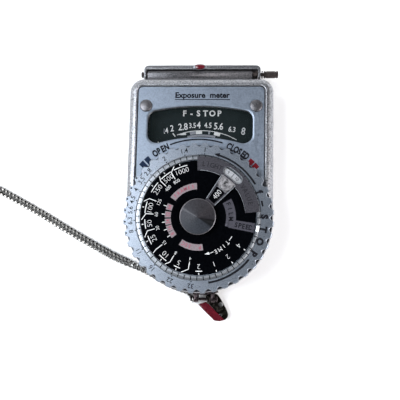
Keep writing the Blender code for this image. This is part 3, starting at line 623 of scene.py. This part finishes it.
def make_back():
    levels = arc(1.3, 1.3, 1.3, 180, 270, 9) + [(2.05, 0.0), (2.2, 0.15), (2.2, 1.4), (1.5, 1.4)]
    back = lofted("back", levelled(body_outline, levels), "casing_paint", "meter")
    sinks = []
    for number, (x, y) in enumerate(((20.2, 40.0), (-20.2, 40.0), (15.0, -14.6), (-15.0, -14.6)), 1):
        sink = ((0, -1), (2.6, -1), (2.0, 0.15), (1.1, 1.05), (1.1, 3), (0, 3))
        sinks.append(turned("sink", sink, centre=(x, y, 0)))
        screw = ((0, 0.15), (1.5, 0.15), (1.6, 0.25), (1.55, 0.4), (0.75, 1.15), (0.75, 7.5), (0, 7.9))
        screw = turned(f"case_screw_{number}", screw, "nickelled_steel", "meter", (x, y, 0))
        cut(screw, prism("slot", strip((x - 2, y - 0.6), (x + 2, y + 0.6), 0.22), -0.5, 0.5))
        stands_for(screw, "nickelled_steel", f"back_cover_screw_{number}")
    cut(back, *sinks, round_tool("zero_hole", (0, 12.6, 0), 1.9, -1, 3))
    stands_for(back, "casing_paint", "back_cover")


def make_face():
    levels = [(13.1, 0.0), (13.65, 0.0), (13.8, 0.12)]
    plate = lofted("plate", levelled(lambda inset: body_outline(3.1 + inset), levels),
                   "face_plate_metal", "meter")
    window = ((12.9, 0.0), (13.66, 0.0), (13.86, 0.6), (15, 0.6))
    cut(plate, lofted("window_tool", levelled(window_outline, window)),
        round_tool("bore", (0, 0, 0), 3.3, 12, 15))
    shade(plate, 10)
    stands_for(plate, "face_plate_metal", "face_plate")
    for side, x in (("left", -18.2), ("right", 18.2)):
        dome = [(0, 11.0), (0.6, 11.0), (0.6, 13.75), (2.05, 13.75)] + arc(1.7, 14.05, 0.35, 0, 90, 3)
        dome += [(1.3, 14.49), (0.8, 14.56), (0.4, 14.59), (0, 14.6)]
        rivet = turned(f"rivet_{side}", dome, "rivet_metal", "meter", (x, 37.1, 0))
        stands_for(rivet, "nickelled_steel", f"face_rivet_{side}")


# ---- cell end

def make_neck():
    """The neck that frames the cell: a shallow dished top between two rounded edges."""
    top = arc(49.3, 9.9, 1.1, 0, 100, 10)
    top += [(48.6, 10.78), (48.1, 10.7), (47.6, 10.72), (47.2, 10.85), (46.9, 10.95), (46.6, 10.95)]
    profile = [(44.2, 2.5), (50.15, 2.5), (50.4, 2.75)] + top + [(44.2, 10.95)]
    levels = [(-18.6, 0.3), (-18.5, 0.1), (-18.3, 0.0), (18.3, 0.0), (18.5, 0.1), (18.6, 0.3)]
    rings = []
    for x, pull in levels:
        rings.append([(x, 47.3 + (y - 47.3) * (1 - pull / 4), 6.7 + (z - 6.7) * (1 - pull / 6))
                      for y, z in profile])
    neck = lofted("neck", rings, "neck_paint", "meter")
    cut(neck, prism("cell_hole", box_outline((-16.4, 43), (16.4, 52)), 3.6, 8.1),
        prism("spring_room", box_outline((16.9, 47.2), (20, 52)), 7.6, 12),
        round_tool("hinge_bore", HINGE, 0.9, -20, 20, "X"))
    stands_for(neck, "neck_paint", "cell_frame")


def cover_plan(inset):
    """The cover's rim seen from above: a front wall that turns round both ends into the ears."""
    x, front, back = COVER_HALF - inset, COVER_FRONT - inset, 47.75 + inset
    outer = [(x, back)] + arc(x - 1.5, front - 1.5, 1.5, 0, 90, 8)
    outer += arc(1.5 - x, front - 1.5, 1.5, 90, 180, 8) + [(-x, back)]
    x, front = COVER_HALF - 0.8 + inset, COVER_INNER + inset
    inner = [(-x, back)] + arc(0.5 - x, front - 0.5, 0.5, 180, 90, 4)
    inner += arc(x - 0.5, front - 0.5, 0.5, 90, 0, 4) + [(x, back)]
    return outer + inner


def make_cover():
    """The perforated baffle over the cell, with the rim that carries its hinge."""
    levels = [(8.3, 0.0), (10.55, 0.0), (10.75, 0.06), (10.8, 0.2)]
    cover = lofted("cover", levelled(cover_plan, levels), "cover_paint", "cell_cover")
    corner, low = 1.2, 0.7
    face = arc(COVER_HALF - corner, low + corner, corner, -90, 0, 8)
    face += [(COVER_HALF, 8.8), (-COVER_HALF, 8.8)]
    face += arc(corner - COVER_HALF, low + corner, corner, 180, 270, 8)
    rows = ((COVER_INNER, 0.0), (COVER_FRONT - 0.2, 0.0), (COVER_FRONT, 0.2))
    front = [[(x * (1 - i / COVER_HALF), y, z + (i if z < 2 else 0)) for x, z in face] for y, i in rows]
    join(cover, lofted("front", front))
    bm = bmesh.new()
    for column in range(17):
        for row in range(4):
            x, z = 2.1 * (column - 8), 2.2 + 1.75 * row
            x += 1.05 * (row % 2 - 0.5)
            add_loft(bm, [[(a, y, b) for a, b in arc(x, z, 0.55, 0, 330, 11)] for y in (50, 53)])
    cut(cover, to_object("holes", bm), round_tool("ear_bore", HINGE, 0.9, -22, 22, "X"))
    shade(cover, 35)
    stands_for(cover, "neck_paint", "cell_cover")

    knob = ((0, 22.3), (0.9, 22.3), (0.9, 20.75), (1.1, 20.75), (1.2, 20.88), (1.2, 21.3), (1.05, 21.4),
            (1.05, 21.6), (1.2, 21.7), (1.2, 24.6), (1.05, 24.7), (1.05, 24.9), (1.2, 25.0), (1.2, 25.45),
            (1.0, 25.65), (0, 25.65))
    stands_for(turned("knob", knob, "dark_chrome", "cell_cover", HINGE, "X"), "dark_chrome", "axle_knob")
    pin = ((0, -20.7), (0.85, -20.7), (1.0, -20.55), (1.0, -20.1), (0.6, -20.1), (0.6, -17.0), (0, -17.0))
    made = turned("left_pin", pin, "dark_chrome", "cell_cover", HINGE, "X", 32)
    stands_for(made, "dark_chrome", "hinge_pin_left")

    def oval(a, b, z, steps):
        return [(a * x - 0.7, b * y + 51.45, z) for x, y in arc(0, 0, 1, 0, 360 - 360 / steps, steps - 1)]

    levels = ((1, 10.8), (1, 11.2), (0.93, 11.4), (0.75, 11.52), (0.4, 11.58))
    dome = [oval(1.72 * share, 0.86 * share, z, 32) for share, z in levels]
    stands_for(lofted("jewel", dome, "red_enamel", "cell_cover"), "red_enamel", "index_jewel")
    collar = [oval(a, b, z, 40) for a, b, z in ((1.77, 0.88, 10.7), (2.3, 0.98, 10.7), (2.3, 0.98, 10.9),
                                                (2.15, 0.95, 11.0), (1.77, 0.88, 11.0))]
    lofted("jewel_collar", collar, "graduation_silver", "cell_cover", closed=True)


# ---- printed marks

def add_glyphs(bm, text, place, z, turn, height, width=1.0, weight=0.0):
    """Text of Blender's own font centred on a place, turned counter-clockwise, as thin solid letters."""
    curve = bpy.data.curves.new("glyphs", "FONT")
    curve.body = text
    curve.align_x, curve.align_y = "CENTER", "CENTER"
    curve.resolution_u = 3
    curve.extrude = PRINT / 2
    curve.offset = weight
    holder = bpy.data.objects.new("glyphs", curve)
    mesh = holder.to_mesh().copy()
    size = height / 0.7
    move = Matrix.Translation((*place[:2], z + PRINT / 2)) @ Matrix.Rotation(radians(turn), 4, "Z")
    mesh.transform(move @ Matrix.Diagonal((size * width, size, 1, 1)) @ Matrix.Translation((0, -0.041, 0)))
    bm.from_mesh(mesh)
    bpy.data.objects.remove(holder)
    bpy.data.curves.remove(curve)
    bpy.data.meshes.remove(mesh)


def add_label(bm, text, radius, angle, z, height, width=1.0, weight=0.0, centre=(0, 0, 0)):
    """Text with its top outward, at a clock angle round a centre."""
    add_glyphs(bm, text, clock(radius, angle) + Vector(centre), z, -angle, height, width, weight)


def add_round_text(bm, text, radius, middle, step, z, height, width=1.0, weight=0.0, centre=(0, 0, 0)):
    """Letters set round a centre with their tops outward, step degrees apart."""
    for i, letter in enumerate(text):
        if letter != " ":
            angle = middle + step * (i - (len(text) - 1) / 2)
            add_label(bm, letter, radius, angle, z, height, width, weight, centre)


def shifted(outline, by):
    return [Vector(p) + by for p in outline]


def add_mark(bm, outline, z):
    add_prism(bm, outline, z, z + PRINT)


def marks(name, outlines, z, material=None, body=None):
    """A piece of flat printed shapes."""
    bm = bmesh.new()
    for outline in outlines:
        add_mark(bm, outline, z)
    return to_object(name, bm, material, body)


def add_dot(bm, centre, radius, z, steps=12):
    add_mark(bm, arc(centre[0], centre[1], radius, 0, 360 - 360 / steps, steps - 1), z)


def add_line(bm, points, half, z):
    """A line of even width through points, mitred at its bends, as one thin solid."""
    route = [Vector(p[:2]) for p in points]
    left, right = [], []
    for i, p in enumerate(route):
        before = (p - route[i - 1]).normalized() if i else (route[1] - p).normalized()
        after = (route[i + 1] - p).normalized() if i < len(route) - 1 else before
        along = (before + after).normalized()
        side = Vector((-along.y, along.x)) * half / max(0.5, along.dot(after))
        left.append(p + side)
        right.append(p - side)
    add_mark(bm, right + left[::-1], z)


def speed_angle(seconds):
    """Where a shutter speed stands on the disc, counted from 1/1000 s."""
    return FASTEST - STOP * log2(seconds * 1000)


def make_plate_print():
    """The arc over the dial with its two words and coloured blocks, and the title on the face."""
    z, centre = PLATE_TOP, Vector((-0.3, 0, 0))
    bm = bmesh.new()
    low, high = -21.4, 16.9
    add_mark(bm, shifted(sector(25.55, 26.05, low, high), centre), z)
    for angle in (low, high):
        add_dot(bm, clock(25.8, angle) + centre, 0.25, z)
    for text, middle, step in (("OPEN", -29.6, 3.2), ("CLOSED", 29.9, 2.95)):
        add_round_text(bm, text, 25.5, middle, step, z, 2.1, 0.68, 0.055, centre)
    add_glyphs(bm, "Exposure  meter", (0.4, 40.75), z, 0, 1.85, 1.0, 0.035)
    add_mark(bm, box_outline((-8.6, 39.1), (9.6, 39.35)), z)
    to_object("plate_print", bm, "print_black", "meter")
    for name, ink, inner, outer, starts in (("open_mark", "print_blue", 23.0, 26.2, (-48.6, -43.6)),
                                            ("closed_mark", "print_red", 24.1, 25.9, (40.6, 45.4))):
        blocks = [shifted(sector(inner, outer, start, start + 4.0), centre) for start in starts]
        marks(name, blocks, z, ink, "meter")


def make_window_print():
    """Scale numerals, and the arc of black and white zones that the needle sweeps over."""
    z, centre = SCALE_TOP, SCALE_CENTRE
    numerals = ((".4", -27.6, 26.4, 1.9), ("2", -22.8, 26.3, 2.15), ("2.8", -14.6, 25.6, 2.3),
                ("3.5", -7.3, 25.45, 1.7), ("4", -2.5, 25.4, 2.3), ("4.5", 4.6, 25.4, 1.8),
                ("5.6", 12.6, 25.6, 2.25), ("6.3", 23.0, 26.0, 1.75), ("8", 30.9, 27.15, 2.45))
    bm = bmesh.new()
    for text, angle, radius, height in numerals:
        add_glyphs(bm, text, clock(radius, angle) + centre, z, -angle * 0.3, height, 0.82, 0.01)
    edge = [clock(23.45, -21 + 51 * i / 27) for i in range(28)]
    add_line(bm, shifted(edge, centre), 0.1, z)
    for start, end in ((-5.0, 0.1), (10.4, 15.6)):
        add_mark(bm, shifted(sector(22.3, 23.4, start, end), centre), z)
    wedge = [clock(23.4, -20 + 6.4 * i / 5) for i in range(6)] + [clock(22.6, -13.6), clock(22.9, -17)]
    add_mark(bm, shifted(wedge, centre), z)
    for i, letter in enumerate("F-STOP"):
        add_glyphs(bm, letter, (0.1 + 2.36 * (i - 2.5), 36.0), z, 0, 1.95, 0.95, 0.03)
    add_line(bm, shifted([clock(24.55, -23.6), clock(23.2, -22.9)], centre), 0.16, z)
    to_object("scale_print", bm, "print_white", "meter")
    bm = bmesh.new()
    for start, end in ((-10.2, -5.2), (5.4, 6.9)):
        add_mark(bm, shifted(sector(22.3, 23.3, start, end), centre), z)
    add_mark(bm, shifted(sector(21.4, 22.1, -13, 12), centre), z)
    add_glyphs(bm, "1", clock(26.6, -28.9) + centre, z, 0, 1.7, 0.82)
    to_object("scale_zones", bm, "print_dim", "meter")


# ---- dial

def make_ring():
    levels = [(14.2, 0.35), (14.5, 0.0), (16.9, 0.0), (17.15, 0.06), (17.32, 0.18), (17.4, 0.36)]
    ring = lofted("ring", levelled(ring_outline, levels), "ring_metal", "fstop_ring")
    pocket = ((0, 16.0), (19.9, 16.0), (19.9, 17.2), (20.15, 17.45), (20.15, 19), (0, 19))
    cut(ring, turned("pocket", pocket, steps=144),
        round_tool("under", (0, 0, 0), 21.6, 13, 15.5, steps=96),
        round_tool("bore", (0, 0, 0), 4.5, 12, 19))
    shade(ring, 18)
    # Steep faces, the notch walls among them, take the darker material: painted shade in the bites.
    ring.data.materials.append(FINISH["ring_wall_painted_shade"])
    for face in ring.data.polygons:
        face.material_index = int(abs(face.normal.z) < 0.4)
    stands_for(ring, "ring_metal", "fstop_ring")
    # A dark band under the ring, seen through the bites: painted shade where the casing shoulder would
    # show.
    skirt = ((21.8, 14.25), (23.55, 14.25), (23.6, 14.3), (23.6, 14.75), (23.55, 14.8), (21.8, 14.8))
    turned("ring_skirt_painted_shade", skirt, "ring_wall_painted_shade", "fstop_ring", steps=144)
    inner, outer, low = 18.55, 19.87, 16.3
    band = ((inner, low), (outer, low), (outer, 16.89), (BEND, TICK_TOP), (inner + 0.07, TICK_TOP),
            (inner, TICK_TOP - 0.08))
    tick_ring = turned("tick_ring", band, "graduation_silver", "fstop_ring", steps=144)
    shade(tick_ring, 10)
    stands_for(tick_ring, "graduation_silver", "graduated_ring")


def make_ring_print():
    z = RING_TOP
    bm = bmesh.new()
    stops = ((1, 0), (1.4, 2), (2, 4), (2.8, 6), (3.5, 7), (4, 8), (4.5, 9), (5.6, 10), (6.3, 11), (8, 12),
             (11, 14), (16, 16), (22, 18), (32, 20))
    for f, halves in stops:
        angle = 5.0 - STOP / 2 * halves
        add_label(bm, f"{f:g}", 21.7, angle, z, 1.45, 1.0, 0.01)
        add_dot(bm, clock(20.3, angle), 0.22, z)
    # Dark dots on six crests at the lower left only: painted shade on the crests' flanks, not print.
    for i in range(-12, -6):
        add_dot(bm, clock(23.35, 360 * (i + 0.5) / RING_NOTCHES), 0.3, z)
    for letter, angle in zip("f–STOP", (67, 77.5, 89, 100, 111, 122.5)):
        add_label(bm, letter, 20.9, angle, z, 2.0, 1.0, 0.065)
    add_mark(bm, sector(20.5, 21.12, 17.5, 59.5), z)
    add_mark(bm, sector(20.45, 21.1, 129, 170), z)
    add_mark(bm, [clock(20.85, 13.2), clock(21.65, 18.2), clock(20.25, 18.2)], z)
    to_object("ring_print_and_crest_shade", bm, "print_black", "fstop_ring")
    bm = bmesh.new()
    for i in range(60):
        for start, end in ((18.65, BEND), (BEND, 19.84)):
            add_mark(bm, radial(start, end, 6 * i, 0.15), TICK_TOP)
    for corner in bm.verts:
        corner.co.z -= SLOPE * max(corner.co.xy.length - BEND - 0.01, 0)
    to_object("tick_print", bm, "print_black", "fstop_ring")


def make_speed_disc():
    disc = ((4.5, 16.3), (18.25, 16.3), (18.25, 16.8), (18.15, 16.9), (4.5, 16.9))
    made = turned("shutter_disc", disc, "disc_black", "speed_disc", steps=144)
    stands_for(made, "disc_black", "speed_disc")

    def bead_plan(inset):
        corners = ((0.22, 0.75, 0), (-0.22, 0.75, 90), (-0.22, -0.75, 180), (0.22, -0.75, 270))
        points = [p for x, y, turn in corners for p in arc(x, y, 0.25 - inset, turn, turn + 90, 6)]
        turned_round = Matrix.Rotation(radians(90 - TAB), 2)
        return [turned_round @ Vector(p) + clock(19.08, TAB).xy for p in points]

    # The tab's bead is real; its near-white colour is a painted highlight of the glint over the tick ring.
    levels = [(17.19, 0.06), (17.25, 0.0), (17.7, 0.0), (17.84, 0.06), (17.9, 0.18)]
    bead = lofted("bead", levelled(bead_plan, levels), "bead_painted_highlight", "speed_disc")
    arm = prism("tab_arm", radial(17.3, 19.4, TAB, 0.5), 17.1, 17.18, "tab_grey", "speed_disc")
    join(arm, prism("root", radial(17.25, 18.0, TAB, 0.45), 16.95, 17.15))
    stands_for(bead, "nickelled_steel", "setting_tab")


def make_disc_print():
    """Shutter speeds, cine speeds and the film-speed scale printed on the black disc."""
    z = DISC_TOP
    bm = bmesh.new()
    parts = [(str(n), 1 / n) for n in (1000, 500, 250, 100, 50, 25, 10, 5, 2)]
    for label, seconds in parts + [("1", 1), ("2", 2), ("4", 4)]:
        angle = speed_angle(seconds)
        add_label(bm, label, 15.6, angle, z, 1.6, 1.05, -0.022)
        if seconds < 1:
            half = 2.1 + 1.4 * len(label)
            add_mark(bm, sector(16.9, 17.15, angle - half, angle + half), z)
        add_mark(bm, radial(17.55, 18.15, angle, 0.12), z)
    for speed, angle in ((800, -32), (400, -47), (125, -70), (60, -87), (30, -106), (15, -128.5),
                         (8, -149), (4, -170.5)):
        add_label(bm, str(speed), 13.35, angle, z, 1.1, 0.95, -0.014)
        add_line(bm, [clock(14.3, angle), clock(16.7, angle), clock(18.1, speed_angle(1 / speed))], 0.11, z)
    add_round_text(bm, "TIME", 12.3, 141, 7.2, z, 1.35, 0.95, -0.01)
    add_mark(bm, sector(12.2, 12.4, 119, 126), z)
    add_mark(bm, sector(11.9, 12.05, 155, 163), z)
    add_mark(bm, [clock(11.9, 169), clock(12.4, 162), clock(11.5, 162)], z)
    frame_rates = (("64", -71.6), ("32", -85.8), ("24", -99.3), ("16", -112), ("8", -124))
    for _, angle in frame_rates:
        add_mark(bm, radial(10.6, 11.6, angle, 0.1), z)
    to_object("speed_print", bm, "print_white", "speed_disc")

    boxes = [sector(8.9, 10.9, -55, -3), sector(8.6, 10.6, -190, -146)]
    boxes += [sector(8.7, 10.6, angle - 5.6, angle + 5.6) for _, angle in frame_rates]
    marks("cine_boxes", boxes, z, "print_pink", "speed_disc")
    bm = bmesh.new()
    add_round_text(bm, "FRAMES", 9.9, -29, 7.4, z + PRINT, 1.15, 0.9, 0.01)
    add_round_text(bm, "P. SEC", 9.6, -168, 6.6, z + PRINT, 1.15, 0.9, 0.01)
    for label, angle in frame_rates:
        add_label(bm, label, 9.65, angle, z + PRINT, 1.15, 0.9, 0.01)
    to_object("cine_print", bm, "print_crimson", "speed_disc")

    film = marks("film_tab", [sector(8.9, 12.0, 60, 107.5, 14)], z, "tab_grey", "speed_disc")
    join(film, marks("film_strip", [strip(clock(10.0, 101), clock(18.1, 100.2), 1.3, 1.5)], z + 0.004))
    bm = bmesh.new()
    add_round_text(bm, "FILM", 10.45, 79, 9.0, z + PRINT, 1.4, 0.95, 0.02)
    for i, letter in enumerate("SPEED"):
        add_glyphs(bm, letter, clock(12.3 + 1.15 * i, 100.7), z + PRINT, -10.5, 1.5, 0.85, 0.03)
    to_object("film_tab_print", bm, "print_black", "speed_disc")
    marks("value_band", [sector(15.95, 18.1, 20, 58)], z, "print_bright", "speed_disc")
    bm = bmesh.new()
    for value, angle in (("9", 33.5), ("10", 44.5), ("11", 55.5)):
        add_label(bm, value, 17.2, angle, z + PRINT, 1.1, 0.85)
        add_mark(bm, radial(16.4, 18.0, angle + 5.5, 0.09), z + PRINT)
    to_object("value_print", bm, "print_black", "speed_disc")


def make_mask():
    """The grey sector that carries the value window, with its pointer running in to the hub."""
    low, high = 17.2, MASK_TOP
    hub = ((4.5, low), (5.5, low), (5.5, high - 0.06), (5.44, high), (4.5, high))
    mask = turned("mask", hub, "mask_grey", "film_mask")
    band = prism("band", sector(14.9, 19.5, -1.6, 84.4, 60), low, high - 0.003)
    pointer = prism("pointer", radial(5.0, 15.6, POINTER, 1.62, 3.0), low, high - 0.006)
    join(mask, band, pointer)
    cut(mask, prism("pill", value_window(), 16.5, 18),
        prism("speed_hole", radial(6.5, 11.3, POINTER, 1.2, 1.75), 16.5, 18))
    shade(mask, 35)
    stands_for(mask, "mask_grey", "film_speed_mask")
    z = MASK_TOP
    marks("pointer_fleck", [radial(11.5, 15.4, POINTER, 2.05, 2.6)], z, "fleck", "film_mask")
    bm = bmesh.new()
    a, b, c, d = radial(6.3, 15.2, POINTER, 1.72, 2.82)
    add_line(bm, [d, c], 0.13, z)
    add_line(bm, [a, b], 0.13, z)
    rim = value_window(0.15)
    add_line(bm, rim[:18], 0.16, z)
    add_line(bm, rim[17:] + rim[:1], 0.06, z)
    add_mark(bm, radial(11.4, 11.55, POINTER, 1.7, 1.7), z)
    for start, end in ((2, 27), (52, 84)):
        add_line(bm, [clock(14.98, t) for t in range(start, end, 2)], 0.07, z)
    to_object("mask_edges", bm, "graduation_silver", "film_mask")
    bm = bmesh.new()
    add_round_text(bm, "LIGHT", 17.1, 14.5, 4.6, z, 1.5, 0.9, 0.01)
    add_round_text(bm, "VALUE", 17.1, 65, 4.8, z, 1.5, 0.9, 0.01)
    to_object("mask_print", bm, "mask_ink", "film_mask")
    bm = bmesh.new()
    add_glyphs(bm, "400", clock(9.4, POINTER), DISC_TOP + PRINT, 90 - POINTER, 1.65, 0.9, -0.012)
    to_object("film_value", bm, "print_white", "speed_disc")


def value_window(grow=0.0):
    """The pill-shaped window of the mask, as an outline with round ends."""
    radius, half, low, high = 17.35, 1.2 + grow, POINTER - 7, POINTER + 7
    outer = [clock(radius + half, low + (high - low) * i / 8) for i in range(9)]
    right = [clock(radius, high) + clock(half, high + t) for t in range(15, 180, 15)]
    inner = [clock(radius - half, high + (low - high) * i / 8) for i in range(9)]
    left = [clock(radius, low) + clock(half, low + t) for t in range(195, 360, 15)]
    return outer + right + inner + left


def make_cap():
    profile = [(2.3, 17.9), (5.5, 17.9), (5.7, 18.1)] + arc(5.4, 18.7, 0.3, 0, 90, 3)
    profile += [(5.2, 19.02), (0.15, 20.66), (0, 20.68), (0, 19.2), (2.3, 19.2)]
    # The cap's material paints its reflections and shade as sectors of tone round the axis.
    cap = turned("cap", profile, "spun_cone", "meter", steps=128)
    stands_for(cap, "nickelled_steel", "centre_cap")
    rim = ((5.4, 18.6), (5.74, 18.6), (5.76, 18.8), (5.68, 18.96), (5.54, 19.03), (5.46, 18.98))
    turned("cap_rim", rim, "rivet_metal", "meter", steps=128)


# ---- clasp

def make_clasp():
    pin_y, pin_z = PIN[1:]
    outline = catmull([(3.0, -27.4, 0), (2.25, -25.9, 0), (2.8, -24.9, 0), (4.3, -24.5, 0), (5.9, -24.8, 0),
                       (7.1, -26.2, 0), (8.2, -28.0, 0), (9.2, -29.9, 0), (9.75, -31.3, 0), (9.5, -32.4, 0),
                       (8.6, -33.2, 0), (7.9, -33.1, 0)], 4)
    body = prism("clasp", outline, 0.4, 2.7, "clasp_nickel", "clasp")
    rivet_at = (7.2, -31.7, 0)
    cut(body, round_tool("slot", rivet_at, 1.9, 1.0, 2.1), round_tool("rivet_hole", rivet_at, 0.6, -1, 4),
        round_tool("eye", (7.3, -28.2, 0), 0.8, -1, 4),
        round_tool("ear_room", (4.65, pin_y, pin_z), 2.0, -0.95, 0.95, "X"))
    bevel(body, 0.35, 3)
    barrel = ((0.8, 2.75), (1.5, 2.75), (1.6, 2.85), (1.6, 3.5), (1.5, 3.6), (0.8, 3.6))
    knuckle = turned("clasp_knuckle", barrel, "clasp_nickel", "clasp", PIN, "X")
    neck = prism("clasp_neck", box_outline((2.75, pin_y - 1.2), (3.6, pin_y - 0.3)), 1.0, 3.4,
                 "clasp_nickel", "clasp")
    cut(neck, round_tool("bore", PIN, 0.8, 1, 5, "X"))
    bevel(neck, 0.15, 2)
    stands_for(body, "clasp_nickel", "clasp_body")
    lever = [(-0.15, -28.45), (0.2, -28.2), (2.1, -27.75), (2.35, -27.85), (5.6, -31.0), (6.9, -33.2),
             (6.7, -33.45), (5.4, -33.5), (4.9, -33.2)]
    panel = prism("lever", lever, 0.6, 3.0, "red_enamel", "clasp_lever")
    shield = [(-0.25, -28.35), (0.0, -28.1), (2.2, -27.4), (2.5, -27.45), (8.35, -33.0), (8.3, -33.25),
              (6.96, -33.62), (5.3, -33.52), (5.0, -33.3)]
    join(panel, prism("shield", shield, 2.85, 3.3))
    bevel(panel, 0.15, 3)
    stands_for(panel, "red_enamel", "clasp_lever")
    rivet = ((0, 0.4), (0.45, 0.4), (0.45, 2.6), (0.35, 2.72), (0, 2.76))
    made = turned("clasp_pin", rivet, "nickelled_steel", "clasp", rivet_at, steps=24)
    stands_for(made, "nickelled_steel", "clasp_rivet")


def make_lug():
    pin_y, pin_z = PIN[1:]
    base = arc(0, 0, 24.05, 262, 285, 12) + arc(0, 0, 24.9, 285, 262, 12)
    lug = prism("lug", base, 3.0, 5.6, "lug_metal", "meter")
    for start, end in ((-1.65, -0.1), (4.0, 5.3)):
        ear = ([(-24.0, 3.0)] + [(pin_y - 1.15 * sin(radians(t)), pin_z - 1.3 * cos(radians(t)))
                                 for t in range(0, 181, 15)] + [(-24.0, 5.6)])
        join(lug, lofted("ear", [[(x, y, z) for y, z in ear] for x in (start, end)]))
    cut(lug, round_tool("ear_hole", PIN, 0.6, -4, 6, "X"),
        round_tool("seat", (0, 0, 0), 24.05, 2, 7, steps=144))
    bevel(lug, 0.15, 2)
    stands_for(lug, "nickelled_steel", "strap_lug")
    pin = ((0, -2.85), (0.65, -2.85), (0.8, -2.7), (0.8, -2.45), (0.5, -2.45), (0.5, 5.6), (0.9, 5.6),
           (0.9, 6.05), (0.75, 6.2), (0, 6.2))
    made = turned("pin", pin, "lug_metal", "meter", PIN, "X", 32)
    stands_for(made, "nickelled_steel", "lug_pin")


# ---- everything

def main():
    set_camera()
    for make in (make_materials, make_studio, make_chain, make_housing, make_back, make_face, make_neck,
                 make_cover, make_plate_print, make_window_print, make_ring, make_ring_print,
                 make_speed_disc, make_disc_print, make_mask, make_cap, make_lug, make_clasp):
        make()
    for node in frame["record"]["subparts"]:
        slot = node["material_slot"]
        piece = frame["nodes"][node["node"]]
        for index in range(len(piece.data.materials)):
            piece.data.materials[index] = FINISH[slot]


main()
